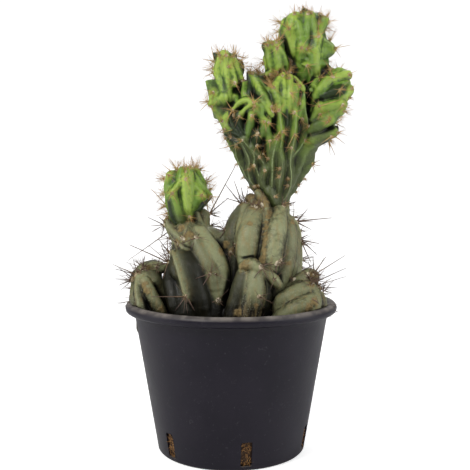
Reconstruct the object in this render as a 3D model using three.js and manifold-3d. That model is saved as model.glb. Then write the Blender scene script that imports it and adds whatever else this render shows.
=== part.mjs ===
// A potted tall cactus: a monstrous column cactus with broken, knobbly ribs, in a plastic nursery pot.
//
// An old grey-green trunk of fat ribs stands in the potting mix. It carries a tall fresh green head of
// crowded wavy ribs, and a small round one on its left stem. Two low offsets lean out over the rim.
// Every shoot is an oval body with ribs along its skin. A rib ends in an areole, the woolly pad that the
// spines grow from. The ribs that the front shows are placed one by one, and the back follows from them.
//
// Millimetres, +Z up, -Y is the front. The origin is the middle of the pot's underside.

import * as THREE from "three";
import { mergeVertices } from "three/addons/utils/BufferGeometryUtils.js";
import Module from "manifold-3d";

const wasm = await Module();
wasm.setup();

// ---- Driving dimensions ----

const pot = {
  height: 120,
  rimRadius: 85, // outermost, at the rolled rim
  wallTopRadius: 77.7, // outside, just under the rim
  baseRadius: 59.6,
  baseRound: 3,
  wall: 1.6,
  floor: 2,
  rimRoll: 4.2, // radius of the roll
  rimDrop: 9, // from the rim's top down to where it curls back to the wall
  segments: 40,
};
const slot = { count: 6, width: 8.4, bottom: 3.6, height: 19.5, firstAzimuth: 11 };
const soilTop = 103;
const clearance = 0.35; // between pieces that touch
const spine = { baseRadius: 0.5, sunk: 1.6 };
const seed = 20;

// The ribs' places were read from the front, in millimetres in the plane of the pot's axis, by an eye at
// this point. Each slides along its own sight line to the depth of the skin that it lies on.
const eye = { x: 3.1, y: -620, z: 214 };

// ---- Shoots ----
// core: the plain body inside the ribs, as a share of the skin.
// back: the long ribs of the far side, in tiers [from, to, count, half width]; from and to are shares of
// the shoot's height.
// skin: oval sections from bottom to top, each [z, middle x, middle y, half width, half depth].
// ribs: [half width, half height, lift above the skin, then x, z of the crest's points, root to tip].
// spines: [x, z, x, z], from the areole to the point, for the longest that stand clear.

const tallHead = [
  {
    // the crowded fan that widens from the neck
    core: 0.66,
    back: { tiers: [[0, 0.55, 6, 8], [0.4, 0.85, 7, 8], [0.72, 1, 6, 8]], height: 10 },
    skin: [
      [190, 36, 0, 9, 8],
      [200, 35, 0, 13, 11],
      [212, 34, 0, 19, 16],
      [226, 33, 0, 25, 20],
      [240, 31, 0, 30, 24],
      [252, 30, 0, 34, 29],
      [266, 30, 0, 37, 32],
      [280, 31, 0, 38, 32],
      [290, 33, 0, 34, 27],
      [299, 35, 0, 21, 15],
      [303, 37, 0, 10, 7],
    ],
    ribs: [
      [4.4, 7, 0, 23, 196, 12, 216, 3, 234, 0, 244],
      [3.4, 6, 0, 25, 200, 15, 220, 13, 236, 7, 248],
      [3.2, 6, 0, 27, 203, 20, 222, 17, 238, 11, 251],
      [3.2, 6, 0.5, 29, 206, 26, 225, 23, 244],
      [3.6, 6, 1, 32, 208, 32, 230, 31, 256],
      [4.4, 7, 1, 39, 200, 40, 222, 38, 242],
      [3.4, 7, 1, 44, 197, 47, 222, 51, 240, 58, 250],
      [3, 6, 0.5, 44, 226, 48, 240, 52, 256, 50, 271],
      [6.4, 8, 0, 48, 202, 54, 220, 59, 236, 60, 248],
      [4.4, 5, 0, 44, 197, 52, 209, 64, 230],
      [6, 7, 1, 37, 190, 31, 206],
      [3.4, 6, 2, 13, 252, 16, 268],
      [2.6, 5, 0.5, 11, 257, 7, 266, 15, 276],
      [2.6, 5, 1, 1, 274, 9, 279, 19, 278],
      [2.6, 5, 1.5, 19, 279, 26, 276, 32, 269],
      [3.2, 6, 1, 39, 249, 41, 260, 38, 272],
      [4, 6, 0, 9, 247, -4, 257],
      [4, 6, 0, 5, 244, -4, 249],
      [3, 5, 0, 21, 236, 20, 250, 24, 263],
      [4.8, 7, 2, 37, 272, 37, 284, 38, 296],
      [3, 5, 4, 39, 299, 32, 289],
      [3.8, 6, 3, 48, 272, 47, 285, 47, 298],
      [5, 8, 1, 33, 270, 25, 285, 15, 300],
      [4.2, 7, 1, 50, 271, 51, 281, 50, 291],
      [3.6, 7, 0, 46, 228, 59, 250, 58, 276, 56, 289],
      [6, 8, 0, 8, 264, 0, 270, -3, 276],
      [5, 8, -2, 20, 282, 14, 293, 13, 303],
      [4.2, 8, -1, 8, 278, 4, 286, 4, 294],
      [4, 7, 0, 30, 284, 30, 294, 31, 303],
    ],
    spines: [
      [-19, 279, -25, 272],
      [1, 273, -5, 262],
      [1, 257, -12, 254],
      [2, 245, -10, 242],
      [18, 278, 11, 289],
      [33, 290, 22, 298],
      [65, 230, 71, 235],
      [65, 230, 69, 222],
      [39, 256, 33, 246],
      [50, 253, 44, 240],
      [47, 297, 40, 306],
    ],
  },
  {
    // the left branch
    core: 0.66,
    back: { tiers: [[0, 1, 4, 5]], height: 7 },
    skin: [
      [270, 4, -4, 8, 8],
      [282, -1, -4, 10, 10],
      [296, -2, -4, 11, 11],
      [308, -4, -4, 11, 10],
      [314, -3, -4, 6, 6],
    ],
    ribs: [
      [7, 8, 0, 2, 274, -8, 279, -17, 280],
      [5, 7, 0, -8, 286, -12, 298, -10, 310],
      [4, 5, -2, -10, 300, -14, 309],
      [3.4, 6, 1, 2, 282, -1, 296, -4, 313],
      [4.6, 7, 0.5, 5, 288, 5, 302, 1, 313],
      [4.4, 6, -1, 11, 288, 11, 300, 7, 310],
      [4.4, 6, -1, -6, 288, -8, 315],
      [5, 7, 1, -2, 284, -6, 275, -5, 268],
    ],
    spines: [
      [-15, 311, -16, 324],
      [-15, 311, -22, 313],
      [6, 311, 14, 317],
      [-14, 302, -22, 300],
    ],
  },
  {
    // the column at the top
    core: 0.66,
    back: { tiers: [[0, 0.6, 5, 6], [0.5, 1, 5, 6]], height: 8 },
    skin: [
      [286, 58, 3, 16, 15],
      [303, 58, 4, 17, 16],
      [315, 57, 5, 19, 17],
      [330, 57, 6, 20, 18],
      [341, 58, 7, 18, 16],
      [349, 61, 7, 10, 9],
    ],
    ribs: [
      [9, 9, 0, 46, 308, 44, 326, 46, 341],
      [4.4, 7, 0.5, 57, 320, 52, 334, 50, 346],
      [4.6, 7, 0, 58, 320, 59, 336, 60, 350],
      [4.4, 7, 1.5, 67, 298, 67, 315, 69, 331],
      [4.4, 7, 0.5, 67, 326, 67, 340, 64, 348],
      [5, 7, -2, 72, 326, 75, 336, 74, 345],
      [7, 8, 0, 66, 316, 74, 319, 81, 321],
      [4.6, 6, 1, 66, 302, 72, 308, 78, 304],
      [5.4, 6, 1, 54, 309, 55, 321],
      [5.8, 7, 0.5, 54, 297, 56, 308],
    ],
    spines: [
      [40, 340, 32, 348],
      [50, 346, 50, 357],
      [59, 350, 59, 359],
      [69, 346, 72, 355],
      [77, 341, 84, 343],
      [76, 336, 83, 334],
      [82, 321, 95, 324],
      [82, 320, 88, 312],
    ],
  },
  {
    // the short stub between them
    core: 0.7,
    back: { tiers: [[0, 1, 3, 4.5]], height: 6 },
    skin: [
      [296, 37, -6, 11, 10],
      [312, 35, -6, 9, 9],
      [321, 33, -6, 6, 6],
    ],
    ribs: [
      [4.4, 6, 0, 29, 300, 28, 314, 29, 323],
      [5.6, 7, 1, 41, 301, 39, 312, 36, 323],
    ],
    spines: [
      [29, 323, 20, 327],
      [29, 323, 28, 334],
    ],
  },
  {
    // the right branch, a cluster of short thick ribs
    core: 0.6,
    back: { tiers: [[0, 0.6, 3, 7], [0.4, 1, 4, 6]], height: 7 },
    skin: [
      [240, 58, -4, 8, 9],
      [250, 66, -4, 15, 13],
      [264, 70, -5, 16, 16],
      [276, 75, -6, 18, 17],
      [288, 77, -6, 19, 16],
      [297, 81, -5, 15, 11],
      [303, 85, -5, 8, 6],
    ],
    ribs: [
      [4.6, 6, 0, 58, 283, 63, 290, 68, 297],
      [5.4, 6, 1, 64, 281, 71, 289, 77, 296],
      [4.6, 5, 1, 80, 297, 92, 301],
      [4.6, 5, 1, 72, 284, 79, 287, 86, 289],
      [5.4, 6, 0, 84, 276, 90, 283, 95, 289],
      [6.2, 7, 1, 62, 272, 74, 275, 86, 278],
      [4.8, 5, 0, 72, 266, 87, 272],
      [5.2, 6, 2, 61, 256, 68, 260, 78, 265],
      [5.4, 6, 2, 58, 246, 68, 250, 80, 255],
      [4.6, 6, -2, 76, 248, 83, 256],
      [5.8, 7, -1, 52, 233, 58, 240, 65, 245],
      [4.4, 5, 0, 63, 264, 70, 275],
    ],
    spines: [
      [70, 276, 90, 282],
      [69, 297, 57, 292],
      [70, 296, 61, 283],
      [85, 288, 96, 289],
      [92, 300, 101, 305],
      [79, 265, 92, 268],
      [79, 252, 84, 237],
      [79, 245, 90, 240],
    ],
  },
];

const smallHead = [
  {
    core: 0.7,
    back: { tiers: [[0, 0.6, 5, 5.5], [0.4, 1, 6, 5.5]], height: 8 },
    skin: [
      [178, -36, -8, 9, 9],
      [188, -37, -8, 14, 13],
      [200, -36, -8, 18, 16],
      [212, -36, -8, 18, 16],
      [221, -35, -8, 14, 12],
      [226, -34, -8, 7, 7],
    ],
    ribs: [
      [4.8, 7, 0, -49, 198, -52, 210, -50, 221],
      [4, 7, 1, -40, 183, -44, 196, -48, 207],
      [3.8, 6, 1, -47, 206, -43, 216, -38, 225],
      [4.2, 7, 2, -34, 189, -35, 202, -37, 217],
      [3.2, 6, 1, -32, 200, -33, 221],
      [4, 7, 1, -31, 190, -28, 200, -22, 205],
      [3.6, 6, 0, -17, 205, -24, 214, -31, 225],
      [4.8, 6, -1, -22, 206, -20, 217, -26, 225],
      [5.4, 6, -1, -30, 186, -22, 196, -17, 203],
      [5.4, 6, -1, -42, 180, -49, 186, -51, 196],
      [3.8, 6, -1, -50, 212, -46, 225],
    ],
    spines: [
      [-53, 198, -65, 211],
      [-48, 224, -56, 230],
      [-38, 226, -38, 237],
      [-27, 225, -24, 236],
      [-19, 215, -9, 222],
      [-16, 203, -7, 204],
    ],
  },
];

const oldTrunk = [
  {
    // the stem under the small head
    core: 0.6,
    back: { tiers: [[0, 1, 5, 10]], height: 14 },
    skin: [
      [84, -24, -14, 24, 26],
      [105, -27, -17, 27, 32],
      [130, -30, -16, 25, 29],
      [150, -32, -14, 23, 25],
      [168, -31, -12, 20, 18],
      [180, -36, -9, 11, 11],
    ],
    ribs: [
      [9.8, 13, 4, -3, 102, -7, 120, -13, 136, -20, 155, -29, 177],
      [8.4, 11, 0, -32, 96, -36, 122, -39, 142, -44, 163],
      [7, 9, -2, -42, 98, -46, 126, -50, 145, -50, 160],
      [5, 7, 0, -40, 160, -48, 172, -54, 181],
      [4.6, 7, 2, -34, 162, -41, 172, -48, 181],
      [5, 7, 2, -32, 166, -34, 178],
      [6.5, 7, -3, -30, 172, -22, 184, -15, 190],
      [9.5, 11, 1, -26, 164, -16, 170, -6, 173],
    ],
    spines: [
      [-54, 181, -67, 188],
      [-54, 181, -65, 181],
      [-54, 174, -83, 152],
      [-56, 152, -82, 166],
      [-54, 155, -64, 176],
      [-51, 150, -64, 150],
      [-14, 190, 3, 228],
      [-14, 190, -2, 204],
      [-14, 189, -4, 186],
      [-5, 175, -9, 166],
      [-17, 141, -29, 138],
      [-17, 141, -26, 128],
      [-37, 122, -57, 123],
      [-37, 122, -45, 111],
      [-37, 122, -30, 112],
      [-10, 120, -5, 113],
    ],
  },
  {
    // the main stem, under the tall head
    core: 0.6,
    back: { tiers: [[0, 0.75, 6, 14], [0.55, 1, 6, 10]], height: 16 },
    skin: [
      [84, 14, -6, 36, 36],
      [105, 18, -7, 40, 40],
      [125, 22, -7, 38, 38],
      [145, 25, -6, 35, 36],
      [165, 26, -4, 33, 33],
      [182, 28, -3, 28, 28],
      [192, 30, -2, 20, 20],
    ],
    ribs: [
      [9, 12, 0, -8, 126, -9, 150, -4, 170, 5, 197],
      [10, 12, -2, -2, 100, -12, 120, -16, 142],
      [5, 7, 0, 4, 176, 9, 197],
      [10.5, 13, 2, 12, 148, 14, 165, 19, 180, 22, 193],
      [10.5, 13, 2, 34, 148, 36, 165, 39, 180, 40, 192],
      [7.5, 10, 0, 48, 134, 50, 156, 52, 174, 53, 186],
      [5, 8, -2, 55, 134, 58, 156, 56, 172],
      [6.5, 8, 0, 10, 148, 18, 147, 25, 146],
      [11.5, 13, 10, 3, 92, 8, 110, 14, 126, 17, 140],
      [7, 9, 14, 20, 104, 23, 122, 22, 138],
      [6, 8, 2, 26, 146, 33, 141, 40, 133],
      [8, 12, 0, 26, 120, 28, 136, 28, 150],
      [4.4, 6, 0, 44, 186, 46, 198],
    ],
    spines: [
      [7, 199, -5, 214],
      [8, 199, 3, 217],
      [7, 198, -4, 203],
      [4, 165, 13, 176],
      [54, 185, 81, 187],
      [54, 185, 63, 195],
      [55, 183, 66, 177],
      [56, 169, 71, 166],
      [57, 167, 64, 150],
      [58, 143, 70, 149],
      [24, 146, 33, 152],
      [24, 145, 17, 154],
    ],
  },
];

const rightOffset = [
  {
    core: 0.6,
    back: { tiers: [[0, 1, 4, 9]], height: 10 },
    skin: [
      [84, 46, -28, 16, 16],
      [100, 48, -32, 20, 20],
      [114, 52, -32, 22, 20],
      [126, 55, -30, 20, 18],
      [134, 57, -28, 12, 12],
      [139, 58, -27, 5, 5],
    ],
    ribs: [
      [6, 8, 0, 40, 130, 52, 137, 64, 139],
      [7.5, 9, 3, 28, 110, 46, 122, 64, 131],
      [6.4, 8, 4, 40, 100, 54, 110, 68, 120],
      [5, 7, 0, 66, 104, 72, 118, 71, 129],
    ],
    spines: [
      [66, 139, 78, 156],
      [67, 138, 92, 157],
      [69, 132, 93, 140],
      [70, 129, 87, 129],
      [66, 121, 72, 117],
    ],
  },
];

const leftOffset = [
  {
    core: 0.6,
    back: { tiers: [[0, 1, 4, 9]], height: 10 },
    skin: [
      [84, -54, -14, 14, 15],
      [100, -60, -16, 17, 19],
      [114, -65, -17, 17, 20],
      [126, -67, -17, 15, 17],
      [138, -67, -16, 11, 11],
      [144, -67, -16, 5, 5],
    ],
    ribs: [
      [7, 8, 1, -70, 143, -60, 138, -51, 130],
      [7.5, 9, 2, -50, 104, -60, 122, -71, 138],
      [4.2, 7, 1, -66, 104, -75, 122, -76, 138],
      [4.6, 7, 0, -70, 106, -80, 122, -81, 136],
      [5, 6, -1, -76, 144, -67, 147, -60, 148],
    ],
    spines: [
      [-77, 141, -97, 149],
      [-76, 142, -80, 153],
      [-71, 143, -70, 154],
      [-81, 136, -94, 137],
      [-80, 137, -91, 147],
      [-61, 147, -58, 158],
      [-51, 130, -46, 122],
    ],
  },
];

// ---- Small tools ----

// A repeatable source of numbers from 0 to 1.
function randomFrom(start) {
  let state = start >>> 0;
  return () => {
    state = (state + 0x6d2b79f5) >>> 0;
    let t = Math.imul(state ^ (state >>> 15), 1 | state);
    t = (t + Math.imul(t ^ (t >>> 7), 61 | t)) ^ t;
    return ((t ^ (t >>> 14)) >>> 0) / 4294967296;
  };
}

const mix = (a, b, t) => a + (b - a) * t;

// A three.js geometry as a closed solid that can be joined and cut.
function solidOf(geometry) {
  const bare = geometry.index ? geometry.toNonIndexed() : geometry.clone();
  bare.deleteAttribute("normal");
  bare.deleteAttribute("uv");
  const merged = mergeVertices(bare, 1e-4);
  const mesh = new wasm.Mesh({
    numProp: 3,
    vertProperties: merged.attributes.position.array,
    triVerts: new Uint32Array(merged.index.array),
  });
  return new wasm.Manifold(mesh);
}

// And back to a geometry for a three.js mesh.
function geometryOf(solid) {
  const mesh = solid.getMesh();
  const points = new Float32Array(mesh.numVert * 3);
  for (let i = 0; i < mesh.numVert; i += 1) {
    const at = i * mesh.numProp;
    points.set(mesh.vertProperties.subarray(at, at + 3), i * 3);
  }
  const geometry = new THREE.BufferGeometry();
  geometry.setAttribute("position", new THREE.BufferAttribute(points, 3));
  geometry.setIndex(new THREE.BufferAttribute(new Uint32Array(mesh.triVerts), 1));
  geometry.computeVertexNormals();
  return geometry;
}

const join = (solids) => wasm.Manifold.union(solids);

// Closed rings of points, joined one to the next and closed by a point at each end.
function tubeGeometry(rings, start, end) {
  const sides = rings[0].length;
  const points = [start, ...rings.flat(), end];
  const last = points.length - 1;
  const faces = [];
  const at = (ring, side) => 1 + ring * sides + (side % sides);
  for (let side = 0; side < sides; side += 1) {
    faces.push(0, at(0, side + 1), at(0, side));
    faces.push(last, at(rings.length - 1, side), at(rings.length - 1, side + 1));
  }
  for (let ring = 0; ring + 1 < rings.length; ring += 1) {
    for (let side = 0; side < sides; side += 1) {
      faces.push(at(ring, side), at(ring, side + 1), at(ring + 1, side));
      faces.push(at(ring, side + 1), at(ring + 1, side + 1), at(ring + 1, side));
    }
  }
  const geometry = new THREE.BufferGeometry();
  const flat = points.flatMap((p) => [p.x, p.y, p.z]);
  geometry.setAttribute("position", new THREE.BufferAttribute(new Float32Array(flat), 3));
  geometry.setIndex(faces);
  return geometry;
}

// A solid from a tube, turned right side out if its rings ran the other way.
function tubeSolid(rings, start, end) {
  const made = solidOf(tubeGeometry(rings, start, end));
  if (made.volume() > 0) return made;
  return solidOf(tubeGeometry(rings.map((ring) => [...ring].reverse()), start, end));
}

// ---- Skin: the oval sections that a shoot's ribs lie on ----

function sectionAt(skin, z) {
  const inside = Math.min(Math.max(z, skin[0][0]), skin.at(-1)[0]);
  const upper = Math.max(1, skin.findIndex((level) => level[0] >= inside));
  const [low, high] = [skin[upper - 1], skin[upper]];
  const t = (inside - low[0]) / (high[0] - low[0]);
  const [, x, y, halfWidth, halfDepth] = low.map((value, i) => mix(value, high[i], t));
  return { x, y, halfWidth, halfDepth };
}

// The point at a given depth on the sight line through (x, z).
function seenAt(x, z, depth) {
  const share = (depth - eye.y) / -eye.y;
  return new THREE.Vector3(mix(eye.x, x, share), depth, mix(eye.z, z, share));
}

// Where the sight line through (x, z) meets the front of the skin. Past its edge it stays at mid depth.
function onSkin(skin, x, z) {
  let depth = sectionAt(skin, z).y;
  let point = seenAt(x, z, depth);
  for (let pass = 0; pass < 4; pass += 1) {
    point = seenAt(x, z, depth);
    const section = sectionAt(skin, point.z);
    const across = Math.min(1, Math.abs(point.x - section.x) / section.halfWidth);
    depth = section.y - section.halfDepth * Math.sqrt(1 - across * across);
  }
  return point;
}

// The way out of the skin at a point on it.
function outward(skin, point) {
  const section = sectionAt(skin, point.z);
  const x = (point.x - section.x) / section.halfWidth ** 2;
  const y = (point.y - section.y) / section.halfDepth ** 2;
  const level = new THREE.Vector3(x, y, 0).normalize();
  const above = sectionAt(skin, point.z + 2);
  const below = sectionAt(skin, point.z - 2);
  const slope = (below.halfDepth - above.halfDepth) / 4;
  level.z = Math.min(0.8, Math.max(-0.5, slope));
  return level.normalize();
}

// ---- Ribs, bodies and spines ----

// A rib's fullness along its length: full in the middle, narrower to each end.
const fullness = (t) => 1 - 0.4 * (2 * t - 1) ** 4;

// The crest's points, the ways out there and the sizes of a rib, from its row.
function ribFrom(row, skin) {
  const [halfWidth, halfHeight, lift, ...flat] = row;
  const crest = [];
  const outs = [];
  for (let i = 0; i < flat.length; i += 2) {
    const point = onSkin(skin, flat[i], flat[i + 1]);
    const out = outward(skin, point);
    outs.push(out);
    crest.push(point.addScaledVector(out, lift));
  }
  return { halfWidth, halfHeight, crest, outs };
}

// The ribs of the far side: tiers of long wavy ribs round the back half of the skin.
function backRibs({ skin, back }, random) {
  const ribs = [];
  const [bottom, top] = [skin[0][0], skin.at(-1)[0]];
  for (const [from, to, count, halfWidth] of back.tiers) {
    for (let i = 0; i < count; i += 1) {
      let turn = Math.PI * ((i + 0.5 + mix(-0.2, 0.2, random())) / count);
      const crest = [];
      const outs = [];
      for (let step = 0; step <= 2; step += 1) {
        const z = mix(bottom, top, mix(from, to, step / 2));
        const section = sectionAt(skin, z);
        const x = section.x + Math.cos(turn) * section.halfWidth;
        const y = section.y + Math.sin(turn) * section.halfDepth;
        const point = new THREE.Vector3(x, y, z);
        const out = outward(skin, point);
        crest.push(point);
        outs.push(out);
        turn += mix(-0.12, 0.12, random());
      }
      ribs.push({ halfWidth: halfWidth * mix(0.85, 1.1, random()), halfHeight: back.height, crest, outs });
    }
  }
  return ribs;
}

// A rib as a solid: oval rings along its crest, sunk so that the crest is their outer edge.
function ribSolid(rib, grow) {
  const line = new THREE.CatmullRomCurve3(rib.crest);
  const outLine = new THREE.CatmullRomCurve3(rib.outs);
  const sides = rib.halfWidth > 7.5 ? 7 : rib.halfWidth > 6 ? 6 : 4;
  const count = Math.max(2, Math.min(5, rib.crest.length));
  const width = rib.halfWidth + grow;
  const height = rib.halfHeight + grow;
  const rings = [];
  const middles = [];
  for (let i = 0; i < count; i += 1) {
    const t = i / (count - 1);
    const along = line.getTangent(t);
    const out = outLine.getPoint(t);
    out.addScaledVector(along, -out.dot(along)).normalize();
    const across = new THREE.Vector3().crossVectors(along, out);
    const middle = line.getPoint(t).addScaledVector(out, -rib.halfHeight);
    const size = fullness(t);
    middles.push(middle);
    const ring = [];
    for (let side = 0; side < sides; side += 1) {
      const turn = (side / sides) * 2 * Math.PI;
      const point = middle.clone();
      point.addScaledVector(out, Math.cos(turn) * height * size);
      point.addScaledVector(across, Math.sin(turn) * width * size);
      ring.push(point);
    }
    rings.push(ring);
  }
  const cap = width * 0.6;
  const start = middles[0].clone().addScaledVector(line.getTangent(0), -cap);
  const end = middles.at(-1).clone().addScaledVector(line.getTangent(1), cap);
  return tubeSolid(rings, start, end);
}

// A shoot's plain body, inside its ribs.
function bodySolid({ skin, core }, grow) {
  const sides = 10;
  const rings = skin.map(([z, x, y, halfWidth, halfDepth]) => {
    const ring = [];
    for (let side = 0; side < sides; side += 1) {
      const turn = (side / sides) * 2 * Math.PI;
      const px = x + Math.cos(turn) * (halfWidth * core + grow);
      const py = y + Math.sin(turn) * (halfDepth * core + grow);
      ring.push(new THREE.Vector3(px, py, z));
    }
    return ring;
  });
  const [bottom, top] = [skin[0], skin.at(-1)];
  const start = new THREE.Vector3(bottom[1], bottom[2], bottom[0] - 1 - grow);
  const end = new THREE.Vector3(top[1], top[2], top[0] + 1.5 + grow);
  return tubeSolid(rings, start, end);
}

// One spine: a slim three-sided needle, its foot sunk in the flesh.
function spineSolid(foot, way, length) {
  const radius = spine.baseRadius;
  const side = new THREE.Vector3(0.3, 0.5, 0.8).cross(way).normalize();
  const other = new THREE.Vector3().crossVectors(way, side);
  const start = foot.clone().addScaledVector(way, -spine.sunk);
  const ringAt = (distance, size) =>
    [0, 1, 2].map((i) => {
      const turn = (i / 3) * 2 * Math.PI;
      return foot
        .clone()
        .addScaledVector(way, distance)
        .addScaledVector(side, Math.cos(turn) * size)
        .addScaledVector(other, Math.sin(turn) * size);
    });
  const rings = [ringAt(-spine.sunk * 0.8, radius), ringAt(length * 0.6, radius * 0.6)];
  return tubeSolid(rings, start, foot.clone().addScaledVector(way, length));
}

// A spine at a rib's tip, between the way out of the skin and the way the rib points. Not every tip has
// one: the share that has is given.
function tipSpines(rib, random, lengths, share) {
  const tip = rib.crest.at(-1);
  const out = rib.outs.at(-1);
  const along = tip.clone().sub(rib.crest.at(-2)).normalize();
  const middle = out.clone().multiplyScalar(0.8).addScaledVector(along, 0.6).normalize();
  const foot = tip.clone().addScaledVector(out, -rib.halfHeight * 0.7);
  const spread = new THREE.Vector3(random() - 0.5, random() - 0.5, random() - 0.5);
  const way = middle.clone().addScaledVector(spread, 1.4).normalize();
  const length = rib.halfHeight * 0.7 + mix(lengths[0], lengths[1], random());
  return random() < share ? [spineSolid(foot, way, length)] : [];
}

// A long spine read from the front. Its foot is inside the rib whose crest looks nearest to its areole.
function longSpine(ribs, [x, z, tipX, tipZ]) {
  let nearest = Infinity;
  let foot = null;
  let depth = 0;
  for (const rib of ribs) {
    const line = new THREE.CatmullRomCurve3(rib.crest);
    const outLine = new THREE.CatmullRomCurve3(rib.outs);
    for (let t = 0; t <= 1; t += 0.125) {
      const crest = line.getPoint(t);
      const share = (crest.y - eye.y) / -eye.y;
      const seenX = eye.x + (crest.x - eye.x) / share;
      const seenZ = eye.z + (crest.z - eye.z) / share;
      const distance = Math.hypot(seenX - x, seenZ - z);
      if (distance < nearest) {
        nearest = distance;
        foot = crest.clone().addScaledVector(outLine.getPoint(t), -rib.halfHeight * 0.8);
        depth = crest.y;
      }
    }
  }
  const towardsEye = 0.25 * Math.hypot(tipX - x, tipZ - z);
  const way = seenAt(tipX, tipZ, depth - towardsEye).sub(foot);
  return spineSolid(foot, way.clone().normalize(), way.length());
}

// All of a shoot's ribs, front and back.
function ribsOf(shoot, random) {
  const front = shoot.ribs.map((row) => ribFrom(row, shoot.skin));
  return [...front, ...backRibs(shoot, random)];
}

// Everything below the top of the mix, as a block.
function belowSoil() {
  const side = 2 * pot.rimRadius;
  const block = new THREE.BoxGeometry(side, side, soilTop);
  return solidOf(block.translate(0, 0, soilTop / 2 + clearance));
}

// The flesh of some shoots, without spines. Only their plain bodies go down into the mix. With grow it
// is that much fatter all round: the room that it needs in its neighbours.
function fleshSolid({ shoots, start }, grow = 0) {
  const random = randomFrom(start);
  const ribs = shoots.flatMap((shoot) => ribsOf(shoot, random)).map((rib) => ribSolid(rib, grow));
  const bodies = shoots.map((shoot) => bodySolid(shoot, grow));
  return join([join(ribs).subtract(belowSoil()), ...bodies]);
}

// All their spines.
function spinesSolid({ shoots, start, spineLengths, tipShare }) {
  const ribRandom = randomFrom(start);
  const spineRandom = randomFrom(start + seed);
  const made = [];
  for (const shoot of shoots) {
    const ribs = ribsOf(shoot, ribRandom);
    made.push(...ribs.flatMap((rib) => tipSpines(rib, spineRandom, spineLengths, tipShare)));
    made.push(...shoot.spines.map((row) => longSpine(ribs, row)));
  }
  return join(made);
}

// ---- Pot and potting mix ----

const wallRadiusAt = (z) =>
  mix(pot.baseRadius, pot.wallTopRadius, (z - pot.baseRound) / (pot.height - pot.rimDrop - pot.baseRound));

// The rolled rim's arc, from the wall's top over to where it curls back, as points of the profile.
function rimArc(from, to, steps) {
  const radius = pot.rimRoll;
  const points = [];
  for (let i = 0; i <= steps; i += 1) {
    const turn = THREE.MathUtils.degToRad(mix(from, to, i / steps));
    const out = pot.rimRadius - radius + Math.cos(turn) * radius;
    const up = pot.height - radius + Math.sin(turn) * radius;
    points.push(new THREE.Vector2(out, up));
  }
  return points;
}

function potGeometry() {
  const curlZ = pot.height - pot.rimDrop;
  const innerTop = new THREE.Vector2(wallRadiusAt(pot.height - 4) - pot.wall, pot.height - 4);
  const profile = [
    new THREE.Vector2(0, 0),
    new THREE.Vector2(pot.baseRadius - pot.baseRound, 0),
    new THREE.Vector2(pot.baseRadius - pot.baseRound * 0.3, pot.baseRound * 0.3),
    new THREE.Vector2(pot.baseRadius, pot.baseRound),
    new THREE.Vector2(wallRadiusAt(curlZ), curlZ),
    ...rimArc(-70, 150, 6),
    innerTop,
    new THREE.Vector2(wallRadiusAt(pot.baseRound + pot.floor) - pot.wall, pot.baseRound + pot.floor),
    new THREE.Vector2(pot.baseRadius - pot.wall - 3, pot.floor),
    new THREE.Vector2(0, pot.floor),
  ];
  return new THREE.LatheGeometry(profile, pot.segments).rotateX(Math.PI / 2);
}

function slotCutter(index) {
  const azimuth = THREE.MathUtils.degToRad(slot.firstAzimuth + (index * 360) / slot.count);
  const depth = 16;
  const cutter = new THREE.BoxGeometry(slot.width, depth, slot.height);
  cutter.translate(0, -pot.baseRadius, slot.bottom + slot.height / 2);
  return solidOf(cutter.rotateZ(azimuth));
}

function potSolid() {
  const cutters = Array.from({ length: slot.count }, (_, index) => slotCutter(index));
  return solidOf(potGeometry()).subtract(join(cutters));
}

// The room that the rim and the wall under it take up, a little fatter: what leans over is cut clear.
function rimRoom() {
  const inner = wallRadiusAt(soilTop) - pot.wall - clearance;
  const outer = pot.rimRadius + 2;
  const low = soilTop - 20;
  const top = pot.height + clearance;
  const profile = [
    new THREE.Vector2(inner, low),
    new THREE.Vector2(outer, low),
    new THREE.Vector2(outer, pot.height - pot.rimRoll * 0.6),
    new THREE.Vector2(pot.rimRadius - pot.rimRoll * 0.4, top),
    new THREE.Vector2(inner + pot.rimRoll * 0.4, top),
    new THREE.Vector2(inner, pot.height - pot.rimRoll * 0.6),
    new THREE.Vector2(inner, low),
  ];
  return solidOf(new THREE.LatheGeometry(profile, pot.segments).rotateX(Math.PI / 2));
}

// The mix fills the pot up to a flat top, with a plain hole for each stem.
function soilSolid(shoots) {
  const low = pot.floor + clearance;
  const topRadius = wallRadiusAt(soilTop) - pot.wall - clearance;
  const profile = [
    new THREE.Vector2(0, low),
    new THREE.Vector2(pot.baseRadius - pot.wall - 4, low),
    new THREE.Vector2(pot.baseRadius - pot.wall - clearance - 0.3, pot.baseRound + pot.floor + 0.4),
    new THREE.Vector2(topRadius, soilTop),
    new THREE.Vector2(0, soilTop),
  ];
  const holes = join(shoots.map((shoot) => bodySolid(shoot, clearance)));
  return solidOf(new THREE.LatheGeometry(profile, pot.segments).rotateX(Math.PI / 2)).subtract(holes);
}

// ---- Assembly ----

const growths = {
  tall_head: { shoots: tallHead, start: seed + 1, spineLengths: [5, 11], tipShare: 0.15 },
  small_head: { shoots: smallHead, start: seed + 2, spineLengths: [4, 9], tipShare: 0.3 },
  old_trunk: { shoots: oldTrunk, start: seed + 3, spineLengths: [8, 20], tipShare: 0.3 },
  left_offset: { shoots: leftOffset, start: seed + 4, spineLengths: [8, 18], tipShare: 0.3 },
  right_offset: { shoots: rightOffset, start: seed + 5, spineLengths: [8, 20], tipShare: 0.3 },
};
const rooms = Object.fromEntries(
  Object.entries(growths).map(([name, growth]) => [name, fleshSolid(growth, clearance)]),
);

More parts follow.
